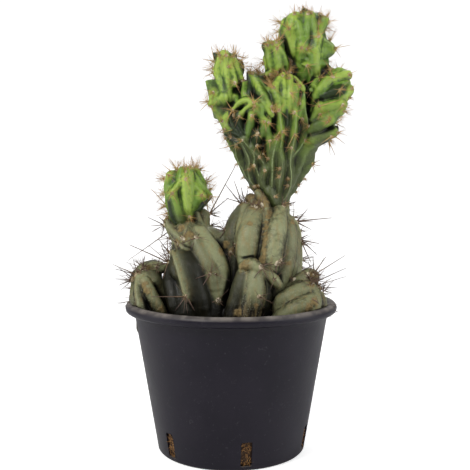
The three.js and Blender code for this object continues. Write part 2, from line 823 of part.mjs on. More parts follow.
// A growth as one body: its flesh is cut to fit the pieces that it grows round, and its spines to
// stand clear of every other piece. What the cuts leave loose is dropped.
function growthSolid(name, fitsRound) {
  const fitted = fitsRound.map((other) => rooms[other]);
  const others = Object.keys(rooms).filter((other) => other !== name);
  const kept = others.map((other) => rooms[other]);
  const flesh = fleshSolid(growths[name]).subtract(join([rimRoom(), ...fitted]));
  const spines = spinesSolid(growths[name]).subtract(join([rimRoom(), belowSoil(), ...kept]));
  return flesh.add(spines);
}

const colours = {
  pot: { color: 0x35343a, roughness: 0.55 },
  soil: { color: 0x2d2018, roughness: 1 },
  old: { color: 0x7d8a6a, roughness: 0.6 },
  fresh: { color: 0x5b8a32, roughness: 0.45 },
};

const cactus = new THREE.Group();

function addPiece(name, solid, look) {
  const [body] = solid.decompose().sort((a, b) => b.volume() - a.volume());
  const material = new THREE.MeshStandardMaterial({ ...look, metalness: 0 });
  const mesh = new THREE.Mesh(geometryOf(body), material);
  mesh.name = name;
  cactus.add(mesh);
}

addPiece("pot", potSolid(), colours.pot);
addPiece("soil", soilSolid([...oldTrunk, ...leftOffset, ...rightOffset]), colours.soil);
addPiece("old_trunk", growthSolid("old_trunk", ["tall_head", "small_head"]), colours.old);
addPiece("left_offset", growthSolid("left_offset", ["old_trunk"]), colours.old);
addPiece("right_offset", growthSolid("right_offset", ["old_trunk"]), colours.old);
addPiece("small_head", growthSolid("small_head", []), colours.fresh);
addPiece("tall_head", growthSolid("tall_head", []), colours.fresh);

export default cactus;
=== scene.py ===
import math

import bmesh
import bpy
import numpy as np
from bpy.props import FloatVectorProperty, IntProperty, PointerProperty
from bpy.types import Operator, Panel, PropertyGroup
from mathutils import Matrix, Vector


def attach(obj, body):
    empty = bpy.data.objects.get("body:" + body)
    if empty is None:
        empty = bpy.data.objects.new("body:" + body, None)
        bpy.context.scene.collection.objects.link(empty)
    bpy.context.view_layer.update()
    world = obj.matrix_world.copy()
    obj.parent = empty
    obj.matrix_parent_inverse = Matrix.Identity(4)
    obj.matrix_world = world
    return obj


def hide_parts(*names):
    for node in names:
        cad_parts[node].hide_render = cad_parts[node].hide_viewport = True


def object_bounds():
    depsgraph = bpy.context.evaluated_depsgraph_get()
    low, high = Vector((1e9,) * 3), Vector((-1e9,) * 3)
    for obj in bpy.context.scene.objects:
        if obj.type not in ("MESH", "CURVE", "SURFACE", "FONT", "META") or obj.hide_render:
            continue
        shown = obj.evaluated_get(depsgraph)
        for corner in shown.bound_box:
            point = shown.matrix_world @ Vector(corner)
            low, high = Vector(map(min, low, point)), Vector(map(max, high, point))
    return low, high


bl_info = {
    "name": "Potted tall cactus",
    "version": (1, 0, 0),
    "blender": (4, 5, 0),
    "location": "3D View > Sidebar > Cactus",
    "description": "A monstrous column cactus in a nursery pot",
    "category": "Object",
}

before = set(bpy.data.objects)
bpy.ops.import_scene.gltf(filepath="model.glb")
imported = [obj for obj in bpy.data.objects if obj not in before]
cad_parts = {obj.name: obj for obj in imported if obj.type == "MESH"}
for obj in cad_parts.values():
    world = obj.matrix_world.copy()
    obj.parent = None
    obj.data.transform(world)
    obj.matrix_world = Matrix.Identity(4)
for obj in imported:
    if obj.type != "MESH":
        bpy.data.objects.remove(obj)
cad_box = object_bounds()

MM = 0.001

# The ribs' and areoles' places were read from the front, in millimetres in the plane of the pot's axis,
# by an eye at this point. Each slides along its own sight line to the surface that it lies on.
EYE = np.array([3.1, -620.0, 214.0])
EYE_PITCH = 0.066
EYE_LENS = 58.98
SOIL_TOP = 103.0

# ---- Shoots ----
# back: the long ribs of the far side, in tiers (from, to, count, half width).
# skin: oval sections from bottom to top, each (z, middle x, middle y, half width, half depth).
# ribs: (kind, half width, lift above the skin, then the crest's points (x, z) from root to tip).
# areoles: (x, z) as the front shows them. spines: (x, z, x, z), from the areole to the point.
# cork: (x, z, size) of corky or scarred places.

# Kinds of rib: how much wider than listed, half height as a share of that, how much narrower at the crest,
# and how clear its pale crest line is, a line that is partly a painted highlight. A word before the kind says
# how light its skin is painted: the dark words give painted shade where a rib lies in shadow, bright a
# painted highlight.
KINDS = {
    "fin": (1.4, 1.25, 0.7, 1.0),
    "ridge": (1.32, 1.15, 0.42, 0.93),
    "lobe": (1.25, 1.05, 0.42, 0.9),
    "pillow": (1.1, 1.0, 0.2, 0.85),
    "stem": (1.12, 0.95, 0.1, 0.85),
}
# Dark and dusky stand for painted shade, bright for a painted highlight.
TONES = {
    "dark": (0.0, 0.05),
    "dusky": (0.12, 0.18),
    "dull": (0.2, 0.35),
    "plain": (0.4, 0.7),
    "bright": (0.85, 1.0),
}

# The crowded fan that widens from the neck.
FAN = {
    "back": [(0, 0.55, 7, 6), (0.4, 0.8, 9, 6), (0.6, 1, 9, 6)],
    "skin": [
        (190, 36, 0, 9, 8), (200, 34, 0, 12, 11), (212, 33, 0, 19, 16), (222, 33, 0, 24, 19),
        (240, 31, 0, 30, 24), (252, 30, 0, 34, 29), (266, 30, 0, 37, 32), (280, 31, 0, 38, 32),
        (290, 33, 0, 34, 27), (299, 35, 0, 22, 16), (303, 37, 0, 12, 9),
    ],
    "ribs": [
        # wavy fins that climb from the neck
        ("fin", 3.8, -1, (12, 214), (5, 228), (0, 240), (-4, 249)),
        ("fin", 3.2, 0, (16, 210), (9, 225), (5, 234), (4, 245)),
        ("fin", 3.0, 0.5, (19, 210), (15, 218), (14, 226), (15, 234), (9, 248)),
        ("fin", 2.8, 0.5, (23, 212), (22, 222), (18.5, 230), (19, 237), (11, 249)),
        ("fin", 2.4, 0.5, (29, 222), (26, 231), (22, 236), (17, 243)),
        ("ridge", 3.2, 0.5, (28, 208), (24, 217), (27, 225)),
        ("fin", 3.0, 0.5, (32, 206), (33, 220), (33, 234), (36, 249)),
        ("ridge", 2.6, 0, (30, 234), (31, 249), (28, 258), (26, 263)),
        ("ridge", 3.8, 0.5, (38, 205), (39, 218), (41, 229), (39, 240)),
        ("fin", 3.0, 1, (40, 197), (46, 208), (48, 220), (47, 234), (50, 253), (51, 270)),
        ("fin", 2.8, 0.5, (44, 226), (48, 234), (58, 248), (61, 260), (58, 276), (57, 290)),
        ("lobe", 5.0, 0, (44, 200), (51, 217), (56.5, 230), (59, 244)),
        ("ridge", 3.9, 0, (45, 198), (54, 212), (60, 222), (65, 230)),
        ("ridge", 3.8, 1, (37, 190), (35, 199), (32, 206)),
        ("fin", 2.6, 0.5, (36, 232), (40, 246), (40, 257), (38, 271)),
        ("dark fin", 2.4, 0, (42, 250), (45, 262), (44, 272)),
        # the dark fins at the left
        ("dark fin", 2.6, 0, (10, 249), (3, 254), (-5, 258)),
        ("dark fin", 2.4, 0.5, (10, 246), (6, 246), (0, 251), (-4, 254)),
        ("dark fin", 2.6, 0.5, (10, 251), (5, 256), (1, 262), (0, 270)),
        ("dark fin", 2.4, 0.5, (12, 253), (8, 259), (6, 268)),
        ("dark lobe", 3.4, 0, (18, 244), (21, 253)),
        # the star of ridges
        ("bright ridge", 2.3, 2, (2, 274), (7, 279), (13, 281), (18, 279)),
        ("bright ridge", 2.2, 1.5, (7, 268), (12, 274), (17, 277)),
        ("ridge", 2.9, 1.5, (13, 250), (15, 260), (16.5, 268)),
        ("ridge", 2.5, 2, (19, 276), (23, 270), (28, 265)),
        ("ridge", 1.8, 1.5, (20, 277), (25, 275), (25, 270)),
        ("ridge", 2.2, 1.5, (19, 280), (25, 280), (28, 275), (31, 271)),
        ("lobe", 3.6, 0, (22, 250), (26, 258), (28, 264)),
        # the long fingers above it
        ("bright ridge", 3.4, 1.5, (32, 271), (28, 281), (22, 291), (16, 301)),
        ("dark ridge", 3.2, -1.5, (34, 283), (28, 292), (22, 300)),
        ("dark ridge", 3.2, -1, (13, 284), (14, 293), (13, 303)),
        ("ridge", 2.8, -0.5, (3, 280), (3, 293)),
        ("ridge", 3.0, -0.5, (10, 281), (10, 294)),
        # the middle
        ("bright lobe", 4.2, 1.5, (38, 272), (37, 283), (35, 290), (39, 297)),
        ("bright ridge", 2.6, 2, (42, 274), (42.5, 288), (41, 300)),
        ("bright ridge", 3.0, 2.5, (46, 274), (46.5, 286), (46.5, 298)),
        ("bright ridge", 2.2, 2, (48, 300), (52, 296), (55, 291)),
        ("lobe", 3.6, 1, (50, 272), (51, 282), (51, 290)),
        ("ridge", 2.2, 0, (42, 300), (36, 303), (31, 302)),
        ("ridge", 3.0, 0, (54, 266), (57, 279)),
    ],
    "areoles": [
        (14, 226), (19, 212), (9, 249), (18.5, 229), (22.5, 213), (27, 225), (22.5, 235.5), (25.5, 238),
        (30, 234.5), (36.5, 250), (31, 248.5), (39, 226.5), (38.5, 220), (46, 219), (45.5, 213), (48.5, 243),
        (51, 253.5), (50.5, 271), (59, 249), (62, 260), (65, 230), (59, 218), (54, 213), (4, 245), (-5, 258),
        (-4, 250), (0, 251), (1.5, 273), (2, 269), (6.5, 268), (18, 279), (18.5, 276), (16.5, 268.5),
        (27, 264), (30, 263), (21, 254), (20.5, 245), (32, 275.5), (33, 272), (17, 301), (15, 302), (22, 301),
        (24, 302), (31, 295), (32, 292), (34, 290.5), (38, 272.5), (41, 256), (38, 252), (41, 300),
        (46.5, 298), (48, 286), (54.5, 291.5), (55, 278), (57, 266), (3, 294.5), (9, 296), (37, 303),
        (31, 301), (45, 303), (42, 198), (35, 204),
    ],
    "spines": [
        (2, 245, -10, 242), (1, 257, -12, 254), (1, 273, -5, 262), (1, 273, -9, 275), (1, 273, -5, 281),
        (18, 279, 11, 286), (18, 279, 16, 288), (19, 280, 26, 286), (33, 290, 22, 298), (32, 294, 25, 304),
        (70, 298, 57, 292), (70, 296, 61, 283), (50, 271, 57, 265), (50, 271, 58, 274), (47, 286, 53, 279),
        (55, 287, 62, 287), (65, 230, 72, 233.5), (65, 230, 72, 228), (65, 230, 67, 222.5),
        (65, 231, 59.5, 236.5), (65, 231, 68, 238), (39, 256, 33, 246), (50, 253, 44, 240),
        (47, 300, 40, 306), (24, 304, 35, 304), (50, 303, 51, 312), (50, 305, 60, 308), (42, 198, 48, 200),
    ],
}

# The left branch.
LEFT_BRANCH = {
    "back": [(0, 0.6, 4, 4.5), (0.4, 1, 5, 4)],
    "skin": [
        (266, 2, -5, 8, 9), (280, -3, -6, 10, 11), (292, -1, -6, 10, 11), (304, -2.5, -5, 11, 11),
        (312, -3.5, -5, 10, 10), (316, -3, -5, 6, 6),
    ],
    "ribs": [
        ("bright lobe", 6.4, 0, (-12, 299), (-16, 289), (-18.5, 280), (-12, 270), (-5, 260)),
        ("bright pillow", 6.0, 0, (2, 283), (-6, 283), (-12, 281)),
        ("bright pillow", 4.2, 0, (2, 271), (-4, 268), (-7, 264)),
        ("bright lobe", 4.8, 0, (-7, 286), (-10, 296), (-13, 303)),
        ("bright lobe", 4.0, 0, (-10, 298), (-12, 306), (-9, 314)),
        ("dark pillow", 3.6, -3, (-12, 304), (-15, 309), (-13, 312)),
        ("bright ridge", 3.1, 1, (0, 282), (-2, 293), (-3.5, 303), (-4, 315)),
        ("bright ridge", 2.5, 1.5, (0, 313), (0, 307), (2, 301), (2.5, 296)),
        ("bright lobe", 3.8, 1, (4, 313), (5, 306), (7, 298)),
        ("dark pillow", 3.6, -1, (8, 298), (11, 303), (9, 310)),
        ("ridge", 2.8, 0, (-7, 300), (-7, 308), (-8, 316)),
    ],
    "areoles": [
        (-15, 311), (-14.5, 303), (-2.5, 307), (-14, 287), (-18.5, 279.5), (7, 311), (2, 315), (-4, 316),
        (-9, 316), (8, 307), (-7, 264),
    ],
    "spines": [
        (-15, 311, -16, 324), (-15, 311, -22, 313), (6, 311, 14, 317), (-14, 302, -22, 300),
        (-14, 287, -21, 289), (-18, 279, -25, 272), (-18, 280, -26, 280), (-9, 316, -12, 325),
        (-4, 316, -5, 323), (2, 315, 5, 322), (8, 308, 17, 307),
    ],
}

# The column at the top.
COLUMN = {
    "back": [(0, 0.6, 5, 6), (0.45, 1, 7, 5)],
    "skin": [
        (290, 62, 2, 11, 12), (304, 62, 3, 14, 14), (316, 60, 4, 18, 17), (326, 58, 5, 20, 18),
        (336, 57, 6, 20, 18), (344, 58, 6, 17, 15), (350, 60, 6, 11, 9),
    ],
    "ribs": [
        ("bright pillow", 9.4, 0.5, (53, 311), (48, 323), (46, 334), (49, 343)),
        ("pillow", 5.0, -1, (41, 318), (38, 330), (41, 342)),
        ("ridge", 3.8, 0.5, (56, 326), (54, 338), (51, 348)),
        ("ridge", 3.0, 0.5, (61, 327), (60.5, 338), (61, 348)),
        ("ridge", 2.9, 0.5, (67, 328), (66, 339), (64, 348)),
        ("dark pillow", 3.6, -1, (58, 344), (58.5, 352)),
        ("lobe", 4.4, 0, (70, 332), (73, 339), (76, 345)),
        ("dark pillow", 3.8, -1, (69, 341), (71, 348)),
        ("bright lobe", 5.0, 2, (69, 298), (67, 308), (67, 319), (69, 331)),
        ("pillow", 8.0, 0, (66, 318), (74, 320), (81, 321)),
        ("fin", 3.4, 0.5, (70, 331), (76, 327), (82, 322)),
        ("lobe", 4.6, 1, (66, 306), (71, 310), (78, 305)),
        ("lobe", 5.4, 1.5, (55, 310), (55, 316), (56, 322)),
        ("pillow", 6.0, 0.5, (54, 297), (57, 303), (60, 309)),
        ("ridge", 2.6, 1, (63, 296), (64, 306), (63, 316)),
    ],
    "areoles": [
        (46, 337), (50, 348), (61, 348.5), (64, 349), (69.5, 331), (82.5, 322), (77, 342), (71, 348),
        (76, 346), (56, 322), (60, 321), (60.5, 308), (70, 298.5), (79, 305), (39, 342), (57, 353), (55, 349),
        (69, 341),
    ],
    "spines": [
        (46, 337, 38, 343), (39, 342, 32, 348), (39, 342, 29, 344), (50, 348, 50, 357), (59, 352, 60, 361),
        (69, 347, 72, 355), (77, 343, 84, 343), (76, 338, 83, 334), (82.5, 322, 95, 324),
        (82.5, 321, 88, 314), (70, 331, 76, 337), (70, 331, 69, 343), (46, 337, 49, 342), (79, 304, 83, 309),
        (76, 346, 79, 352), (81, 299, 72, 299),
    ],
}

# The short stub between them.
STUB = {
    "back": [(0, 1, 4, 4)],
    "skin": [(298, 36, -8, 11, 9), (312, 36, -8, 10, 9), (321, 34, -8, 7, 7), (324, 33, -8, 4, 4)],
    "ribs": [
        ("ridge", 3.4, 0, (31, 305), (29.5, 314), (30, 323)),
        ("ridge", 3.7, 1, (38.5, 305), (37.5, 314), (36, 323)),
        ("ridge", 3.4, 0, (45, 308), (43, 315), (39, 321)),
        ("ridge", 2.8, -1, (26, 306), (26, 314)),
    ],
    "areoles": [(29, 324), (33, 325), (36.5, 321.5), (48.5, 312), (24, 310), (36, 326)],
    "spines": [
        (29, 324, 20, 327), (29, 324, 28, 334), (36, 326, 36, 334), (36, 322, 42, 328), (24, 309, 17, 304),
        (48.5, 312, 44, 306),
    ],
}

# The right branch.
RIGHT_BRANCH = {
    "back": [(0, 0.6, 5, 5), (0.4, 1, 5, 5)],
    "skin": [
        (240, 58, -4, 8, 9), (250, 66, -4, 15, 13), (264, 70, -5, 16, 16), (276, 75, -6, 18, 17),
        (288, 77, -6, 19, 16), (297, 81, -5, 15, 11), (303, 85, -5, 8, 6),
    ],
    "ribs": [
        ("lobe", 4.0, 0, (58, 283), (63, 290), (68, 297)),
        ("pillow", 5.0, 1, (64, 281), (71, 289), (77, 296)),
        ("bright pillow", 4.2, 1, (80, 297), (86, 300), (92, 301)),
        ("pillow", 3.0, -1, (82, 293), (92, 295)),
        ("dark ridge", 4.0, 1, (72, 284), (79, 287), (86, 289)),
        ("bright lobe", 5.0, 0, (84, 276), (90, 283), (95, 289)),
        ("lobe", 5.8, 1, (62, 272), (74, 275), (86, 278)),
        ("pillow", 4.4, 0, (72, 266), (79, 269), (87, 272)),
        ("fin", 3.0, 0, (78, 264), (83, 271), (86, 277)),
        ("pillow", 4.7, 2, (61, 256), (68, 260), (78, 265)),
        ("bright pillow", 4.9, 2, (58, 246), (68, 250), (80, 255)),
        ("dark pillow", 4.2, -2, (76, 248), (82, 250), (83, 256)),
        ("lobe", 5.2, -1, (52, 233), (58, 240), (65, 245)),
        ("pillow", 4.0, 0, (63, 264), (66, 270), (70, 275)),
    ],
    "areoles": [
        (70.5, 276), (71, 270), (86.5, 289), (96, 290), (94, 301), (81, 299), (77, 263.5), (79, 266),
        (80, 252), (80, 245), (84, 263), (90, 272), (85, 255), (89, 277), (94, 283),
    ],
    "spines": [
        (70.5, 276, 90, 282), (86.5, 289, 96, 289), (93, 301, 101, 305), (84, 262, 92, 259),
        (84, 255, 91, 257), (80, 252, 71, 246), (80, 245, 84, 237), (80, 245, 79, 237), (85, 250, 92, 246),
        (96, 290, 100, 294), (90, 272, 96, 268), (81, 299, 80, 305), (85, 262, 90, 266),
    ],
}

# The small round head.
SMALL_BALL = {
    "back": [(0, 0.6, 6, 4.5), (0.4, 1, 7, 4.5)],
    "skin": [
        (178, -37, -8, 8, 8), (188, -38, -8, 12, 12), (200, -36, -8, 17, 16), (212, -36, -8, 18, 16),
        (221, -36, -8, 15, 13), (226, -35, -8, 8, 7),
    ],
    "ribs": [
        ("pillow", 4.8, 0, (-50, 199), (-52, 209), (-50, 220)),
        ("dark pillow", 3.6, -1.5, (-48, 212), (-46, 223)),
        ("ridge", 3.9, 0.5, (-40.5, 212), (-41, 221), (-39, 227)),
        ("lobe", 4.4, 1, (-40, 182), (-43, 194), (-46, 206)),
        ("bright ridge", 3.0, 1.5, (-41.5, 215), (-44, 211), (-47, 207)),
        ("bright ridge", 3.7, 2.5, (-33.5, 187), (-35, 197), (-36.5, 207), (-37, 217)),
        ("ridge", 2.7, 1.5, (-32, 197), (-32, 209), (-32.5, 221)),
        ("ridge", 3.8, 1.5, (-30, 213), (-27, 210), (-24, 205)),
        ("pillow", 5.0, 0.5, (-31, 195), (-27, 203)),
        ("ridge", 3.3, 0.5, (-30, 226), (-27, 218), (-22, 211), (-17, 205)),
        ("pillow", 4.6, -1, (-22, 210), (-22, 218), (-26, 225)),
        ("dark lobe", 5.2, -0.5, (-32, 188), (-25, 194), (-18, 202)),
        ("dark pillow", 4.6, -1, (-45, 179), (-48.5, 188), (-49, 198)),
        ("ridge", 2.6, 0, (-35, 222), (-33, 227)),
    ],
    "areoles": [
        (-33, 227), (-30, 227), (-36.5, 218), (-33.5, 188), (-47.5, 206.5), (-53, 219), (-53, 197),
        (-52.5, 190), (-48.5, 183), (-24, 205), (-16.5, 204), (-19, 217), (-44, 225), (-50, 221), (-24, 226),
        (-36, 224),
    ],
    "spines": [
        (-53, 198, -65, 211), (-48, 224, -56, 230), (-38, 226, -38, 237), (-27, 226, -24, 236),
        (-19, 215, -9, 222), (-16.5, 204, -7, 204), (-53, 190, -61, 189), (-53, 219, -60, 218),
        (-33, 228, -32, 236), (-53, 196, -60, 193),
    ],
}

# The stem under the small head.
LEFT_STEM = {
    "back": [(0, 1, 5, 9)],
    "skin": [
        (84, -22, -14, 26, 26), (105, -24, -17, 29, 32), (130, -27, -16, 28, 29), (150, -28, -14, 26, 25),
        (168, -28, -12, 18, 17), (180, -33, -9, 12, 9),
    ],
    "ribs": [
        ("bright stem", 8.4, 3.5, (-8, 126), (-7.5, 139), (-9.5, 150), (-16, 161), (-26, 176)),
        ("dull stem", 5.8, 2.0, (-12, 128), (-15, 142), (-20.5, 154), (-28.5, 169)),
        ("dark stem", 9.0, -3, (-6, 100), (-9, 112), (-12, 126)),
        ("ridge", 2.0, 3.5, (-36, 121), (-38.5, 133), (-42.5, 147), (-45.5, 159)),
        ("dusky stem", 5.4, 1.5, (-33, 124), (-35.5, 134), (-39.5, 148), (-42.5, 158)),
        ("dark stem", 8.0, 0, (-20, 104), (-27, 126), (-33, 146), (-37, 156)),
        ("dusky stem", 5.0, -1, (-45, 140), (-48.5, 148), (-50, 155)),
        ("dark stem", 6.8, -1, (-46, 104), (-52, 122), (-55, 136), (-53, 144)),
        ("dark stem", 6.6, -2, (-7, 106), (-3, 130), (-5, 160)),
        ("ridge", 4.0, 0, (-42, 164), (-48, 172), (-54, 180)),
        ("ridge", 2.9, 2, (-38, 168), (-44, 173), (-50, 180)),
        ("ridge", 3.4, 1, (-35, 170), (-36.5, 180)),
        ("stem", 6.4, -1, (-22, 168), (-18.5, 178), (-16.5, 186)),
        ("dull stem", 7.6, 3, (-25, 174), (-14, 174), (-5, 171)),
        ("ridge", 2.2, 1, (-20, 178), (-24, 183), (-27, 190)),
    ],
    "areoles": [
        (-54, 181), (-55, 152), (-28, 171), (-17, 141.5), (-13, 141), (-37, 123), (-10.5, 120), (-5, 177),
        (-15, 191), (-43, 166), (-39, 170), (-53, 160), (-50, 170),
    ],
    "cork": [
        (-43, 167, 3), (-38, 171, 3), (-35, 185, 3), (-33, 173, 3), (-40, 178, 2.5), (-8, 160, 3),
        (-4, 166, 2.5),
    ],
    "spines": [
        (-54, 181, -67, 188), (-54, 181, -65, 181), (-53, 183, -58, 188), (-54, 174, -83, 152),
        (-53, 158, -59, 170), (-55, 152, -82, 166), (-55, 152, -66, 165), (-55, 152, -57, 165),
        (-55, 152, -52, 172), (-51, 150, -64, 150), (-15, 191, 3, 228), (-15, 191, -2, 204),
        (-15, 191, -8, 188), (-5, 177, -9, 170), (-17, 141.5, -29, 138), (-17, 141.5, -26, 127),
        (-37, 123, -65, 122.5), (-37, 123, -45, 111), (-37, 123, -36, 109), (-35, 121, -30, 111),
        (-10.5, 120, -6.5, 115), (-10.5, 120, -20, 117), (-28, 171, -41, 166), (-28, 171, -32, 162),
        (-55, 150, -56, 137), (-54, 180, -56, 171),
    ],
}

# The main stem, under the tall head.
MAIN_STEM = {
    "back": [(0, 0.75, 6, 12), (0.55, 1, 6, 9)],
    "skin": [
        (84, 14, -6, 36, 36), (105, 18, -7, 38, 38), (125, 22, -7, 36, 37), (145, 25, -6, 34, 35),
        (165, 26, -4, 33, 33), (180, 26, -3, 30, 29), (190, 26, -2, 24, 22), (196, 28, -2, 15, 14),
    ],
    "ribs": [
        ("dull stem", 9.6, 1, (-8, 124), (-7, 150), (-3.5, 172), (0.5, 185), (5, 196)),
        ("dark stem", 7.0, -4, (-10, 100), (-13, 122), (-14, 142)),
        ("ridge", 3.6, 1.5, (5, 172), (8, 186), (11, 198)),
        ("stem", 8.6, 3.5, (11.5, 156), (12.5, 165), (14.5, 178), (19.5, 194)),
        ("ridge", 3.8, 1.5, (8, 150), (7, 166), (11, 184), (15, 195)),
        ("ridge", 3.0, -1.5, (24, 132), (26, 150), (28, 168), (29, 190)),
        ("bright stem", 7.4, 3.5, (33, 148), (35, 160), (38, 178), (40, 193)),
        ("dull stem", 6.6, 0, (43, 134), (48, 152), (50, 170), (49, 187)),
        ("dull stem", 4.2, -2, (54, 140), (57, 158), (55, 178)),
        ("bright pillow", 4.4, 9, (13.5, 148), (17.5, 149.5), (21.5, 146.5)),
        ("stem", 7.4, 8.5, (12, 94), (16, 110), (19.5, 125), (20.5, 139)),
        ("dusky stem", 8.4, 6.5, (1, 94), (4.5, 110), (8.5, 124), (12, 140)),
        ("pillow", 4.2, 5, (27, 143), (32, 139), (37, 133)),
        ("dark stem", 5.6, 0, (26, 112), (28, 130), (29, 148)),
        ("ridge", 3.6, 0, (46, 188), (47, 198)),
        ("ridge", 3.2, 1, (22, 192), (18, 199), (12, 203)),
        ("ridge", 3.2, 2, (28, 192), (26, 199), (22, 206)),
    ],
    "areoles": [
        (9, 200), (13, 199), (20, 196), (25, 197), (37, 150), (54, 184), (56, 169), (24, 147), (22.5, 123),
        (3, 165), (0, 159), (42, 196), (40, 152), (35, 137), (17, 196),
    ],
    "cork": [
        (15, 182, 2), (30, 192, 2.2), (29.4, 187.5, 2.2), (28.6, 183, 2.2), (28, 178.5, 2.2),
        (27.6, 174, 2.2), (27.2, 169.5, 2.2), (26.8, 165, 2.2), (26.4, 160.5, 2.2), (26, 156, 2.4),
        (24, 151, 2.8), (9.5, 148, 4.5), (0, 160, 2.4), (20, 116, 2), (6, 110, 2.5), (20, 197, 5),
        (10, 199, 4.5), (25, 200, 5), (47, 196, 3), (50, 183, 2.4), (46, 150, 2), (16, 204, 4),
    ],
    "spines": [
        (7, 200, -5, 214), (8, 200, 3, 217), (8, 201, -4, 203), (9, 201, 8, 211), (4, 165, 13, 176),
        (54, 185, 81, 187), (54, 185, 62, 194), (55, 183, 65, 178), (54, 184, 66, 185), (56, 169, 71, 166),
        (56, 169, 70, 157), (56, 170, 62, 174), (57, 167, 64, 150), (60, 144, 68, 149), (24, 147, 33, 152),
        (25, 146, 31, 136), (24, 145, 18, 139), (9, 202, 14, 209), (37, 150, 30, 148), (38, 151, 34, 157),
        (40, 152, 42, 146), (37, 149, 35, 143), (47, 198, 52, 200),
    ],
}

# The low offset at the left.
LEFT_LOW = {
    "back": [(0, 1, 5, 7)],
    "skin": [
        (84, -54, -14, 14, 15), (100, -60, -16, 17, 19), (114, -65, -17, 17, 20), (126, -67, -17, 15, 17),
        (138, -67, -16, 11, 11), (144, -67, -16, 5, 5),
    ],
    "ribs": [
        ("dull stem", 5.0, 2.5, (-67, 142), (-61, 136.5), (-55, 130), (-51, 125)),
        ("stem", 4.6, 3.5, (-54, 104), (-60, 115), (-66, 126), (-70, 135)),
        ("ridge", 2.8, 2.5, (-71, 106), (-74.5, 118), (-76, 129), (-75, 138)),
        ("dull lobe", 3.8, 0, (-78, 110), (-81.5, 124), (-80.5, 136)),
        ("bright pillow", 4.2, 0, (-69, 145.5), (-62, 147.5), (-56, 147)),
        ("dark stem", 6.0, -3, (-45, 106), (-51, 120), (-57, 133)),
    ],
    "areoles": [
        (-77, 141), (-74, 142), (-72, 145), (-70, 147), (-80, 137), (-50.5, 131), (-60, 147), (-82, 136),
    ],
    "cork": [(-70.5, 133, 2.6), (-69, 128, 2.8), (-56, 113, 2.2), (-67, 147, 2.4), (-78, 139, 2)],
    "spines": [
        (-77, 141, -97, 149), (-78, 141, -94, 146), (-76, 142, -78.5, 153), (-71, 146, -71, 154),
        (-80, 137, -94, 137), (-80, 138, -91, 147), (-60, 147, -58, 156), (-81, 136, -91, 133),
        (-74, 143, -77, 148), (-71, 146, -68, 150), (-59, 143, -71, 119),
    ],
}

# The low offset at the right.
RIGHT_LOW = {
    "back": [(0, 1, 5, 7)],
    "skin": [
        (84, 46, -28, 16, 16), (100, 48, -32, 20, 20), (114, 52, -32, 22, 20), (126, 55, -30, 20, 18),
        (134, 57, -28, 12, 12), (139, 58, -27, 5, 5),
    ],
    "ribs": [
        ("stem", 6.0, 0, (38, 132), (50, 136), (62, 139)),
        ("stem", 7.2, 3, (31, 108), (42, 120), (54, 126), (63, 130)),
        ("stem", 6.6, 3.5, (34, 101), (50, 111), (64, 119)),
        ("ridge", 3.3, 4, (28, 108), (29, 119), (33, 128), (40, 133)),
        ("pillow", 4.6, 0, (66, 106), (71, 119), (70, 129)),
    ],
    "areoles": [(65, 133), (67, 141), (72, 130), (64, 138), (70, 131), (66, 134), (29, 114), (62, 141)],
    "cork": [(65, 133, 3), (66, 140, 3), (37, 132, 2.5), (30, 124, 2.5), (68, 119, 3), (63, 114, 3)],
    "spines": [
        (67, 141, 76, 156), (68, 141, 92, 157), (69, 135, 93, 147), (70, 132, 93, 140), (72, 130, 86, 130),
        (66, 121, 72, 117), (67, 142, 66, 155), (65, 142, 63, 152), (67, 141, 76, 141), (72, 129, 82, 126),
        (66, 134, 73, 138),
    ],
}


# ---- Numbers ----

# The steepest ways out of a skin, down and up.
RISE_LIMITS = (-0.5, 0.8)


def mix(a, b, t):
    return a + (b - a) * t


def unit(v):
    return v / np.maximum(np.linalg.norm(v, axis=-1, keepdims=True), 1e-9)


def length_of(line):
    return np.linalg.norm(np.diff(line, axis=0), axis=1).sum()


def section_at(skin, z):
    """Middle x, middle y, half width and half depth of the skin at height z."""
    return np.array([np.interp(z, skin[:, 0], skin[:, i]) for i in (1, 2, 3, 4)])


def seen_at(x, z, depth):
    """The point at a given depth on the sight line through (x, z)."""
    share = (depth - EYE[1]) / -EYE[1]
    return np.array([mix(EYE[0], x, share), depth, mix(EYE[2], z, share)])


def on_skin(skin, x, z):
    """Where the sight line through (x, z) meets the front of the skin, or its mid depth past the edge."""
    depth = section_at(skin, z)[1]
    for _ in range(4):
        point = seen_at(x, z, depth)
        middle_x, middle_y, half_width, half_depth = section_at(skin, point[2])
        across = min(1.0, abs(point[0] - middle_x) / half_width)
        depth = middle_y - half_depth * math.sqrt(1 - across * across)
    return point


def outward(skin, point):
    """The way out of the skin at a point on it."""
    middle_x, middle_y, half_width, half_depth = section_at(skin, point[2])
    level = ((point[0] - middle_x) / half_width**2, (point[1] - middle_y) / half_depth**2, 0)
    out = unit(np.array(level))
    reach = 2
    below, above = [section_at(skin, point[2] + step)[3] for step in (-reach, reach)]
    out[2] = np.clip((below - above) / (2 * reach), *RISE_LIMITS)
    return unit(out)


def smooth_line(points, count):
    """A smooth line through a few points, as count samples."""
    points = np.asarray(points, float)
    if len(points) == 2:
        return mix(points[0], points[1], np.linspace(0, 1, count)[:, None])
    before = 2 * points[0] - points[1]
    after = 2 * points[-1] - points[-2]
    padded = np.vstack([before, points, after])
    line = []
    for u in np.linspace(0, len(points) - 1, count):
        i = min(int(u), len(points) - 2)
        t = u - i
        a, b, c, d = padded[i : i + 4]
        square = (2 * a - 5 * b + 4 * c - d) * t * t
        cube = (3 * b - 3 * c + d - a) * t**3
        line.append(0.5 * (2 * b + (c - a) * t + square + cube))
    return np.array(line)


# ---- Ribs ----

# Millimetres between the areoles along a rib.
AREOLE_GAP = 11

# Filling ribs: points along each, how far it strays from its even place, how far it waves from point to
# point in radians, the ranges of size and tone, and the tone of those that lie sunk in front, dark as painted
# shade.
FILLING = {
    "points": 5,
    "stray": 0.2,
    "wave": 0.14,
    "size": (0.85, 1.1),
    "tone": (0.1, 1.0),
    "sunk_shade_tone": 0.12,
}


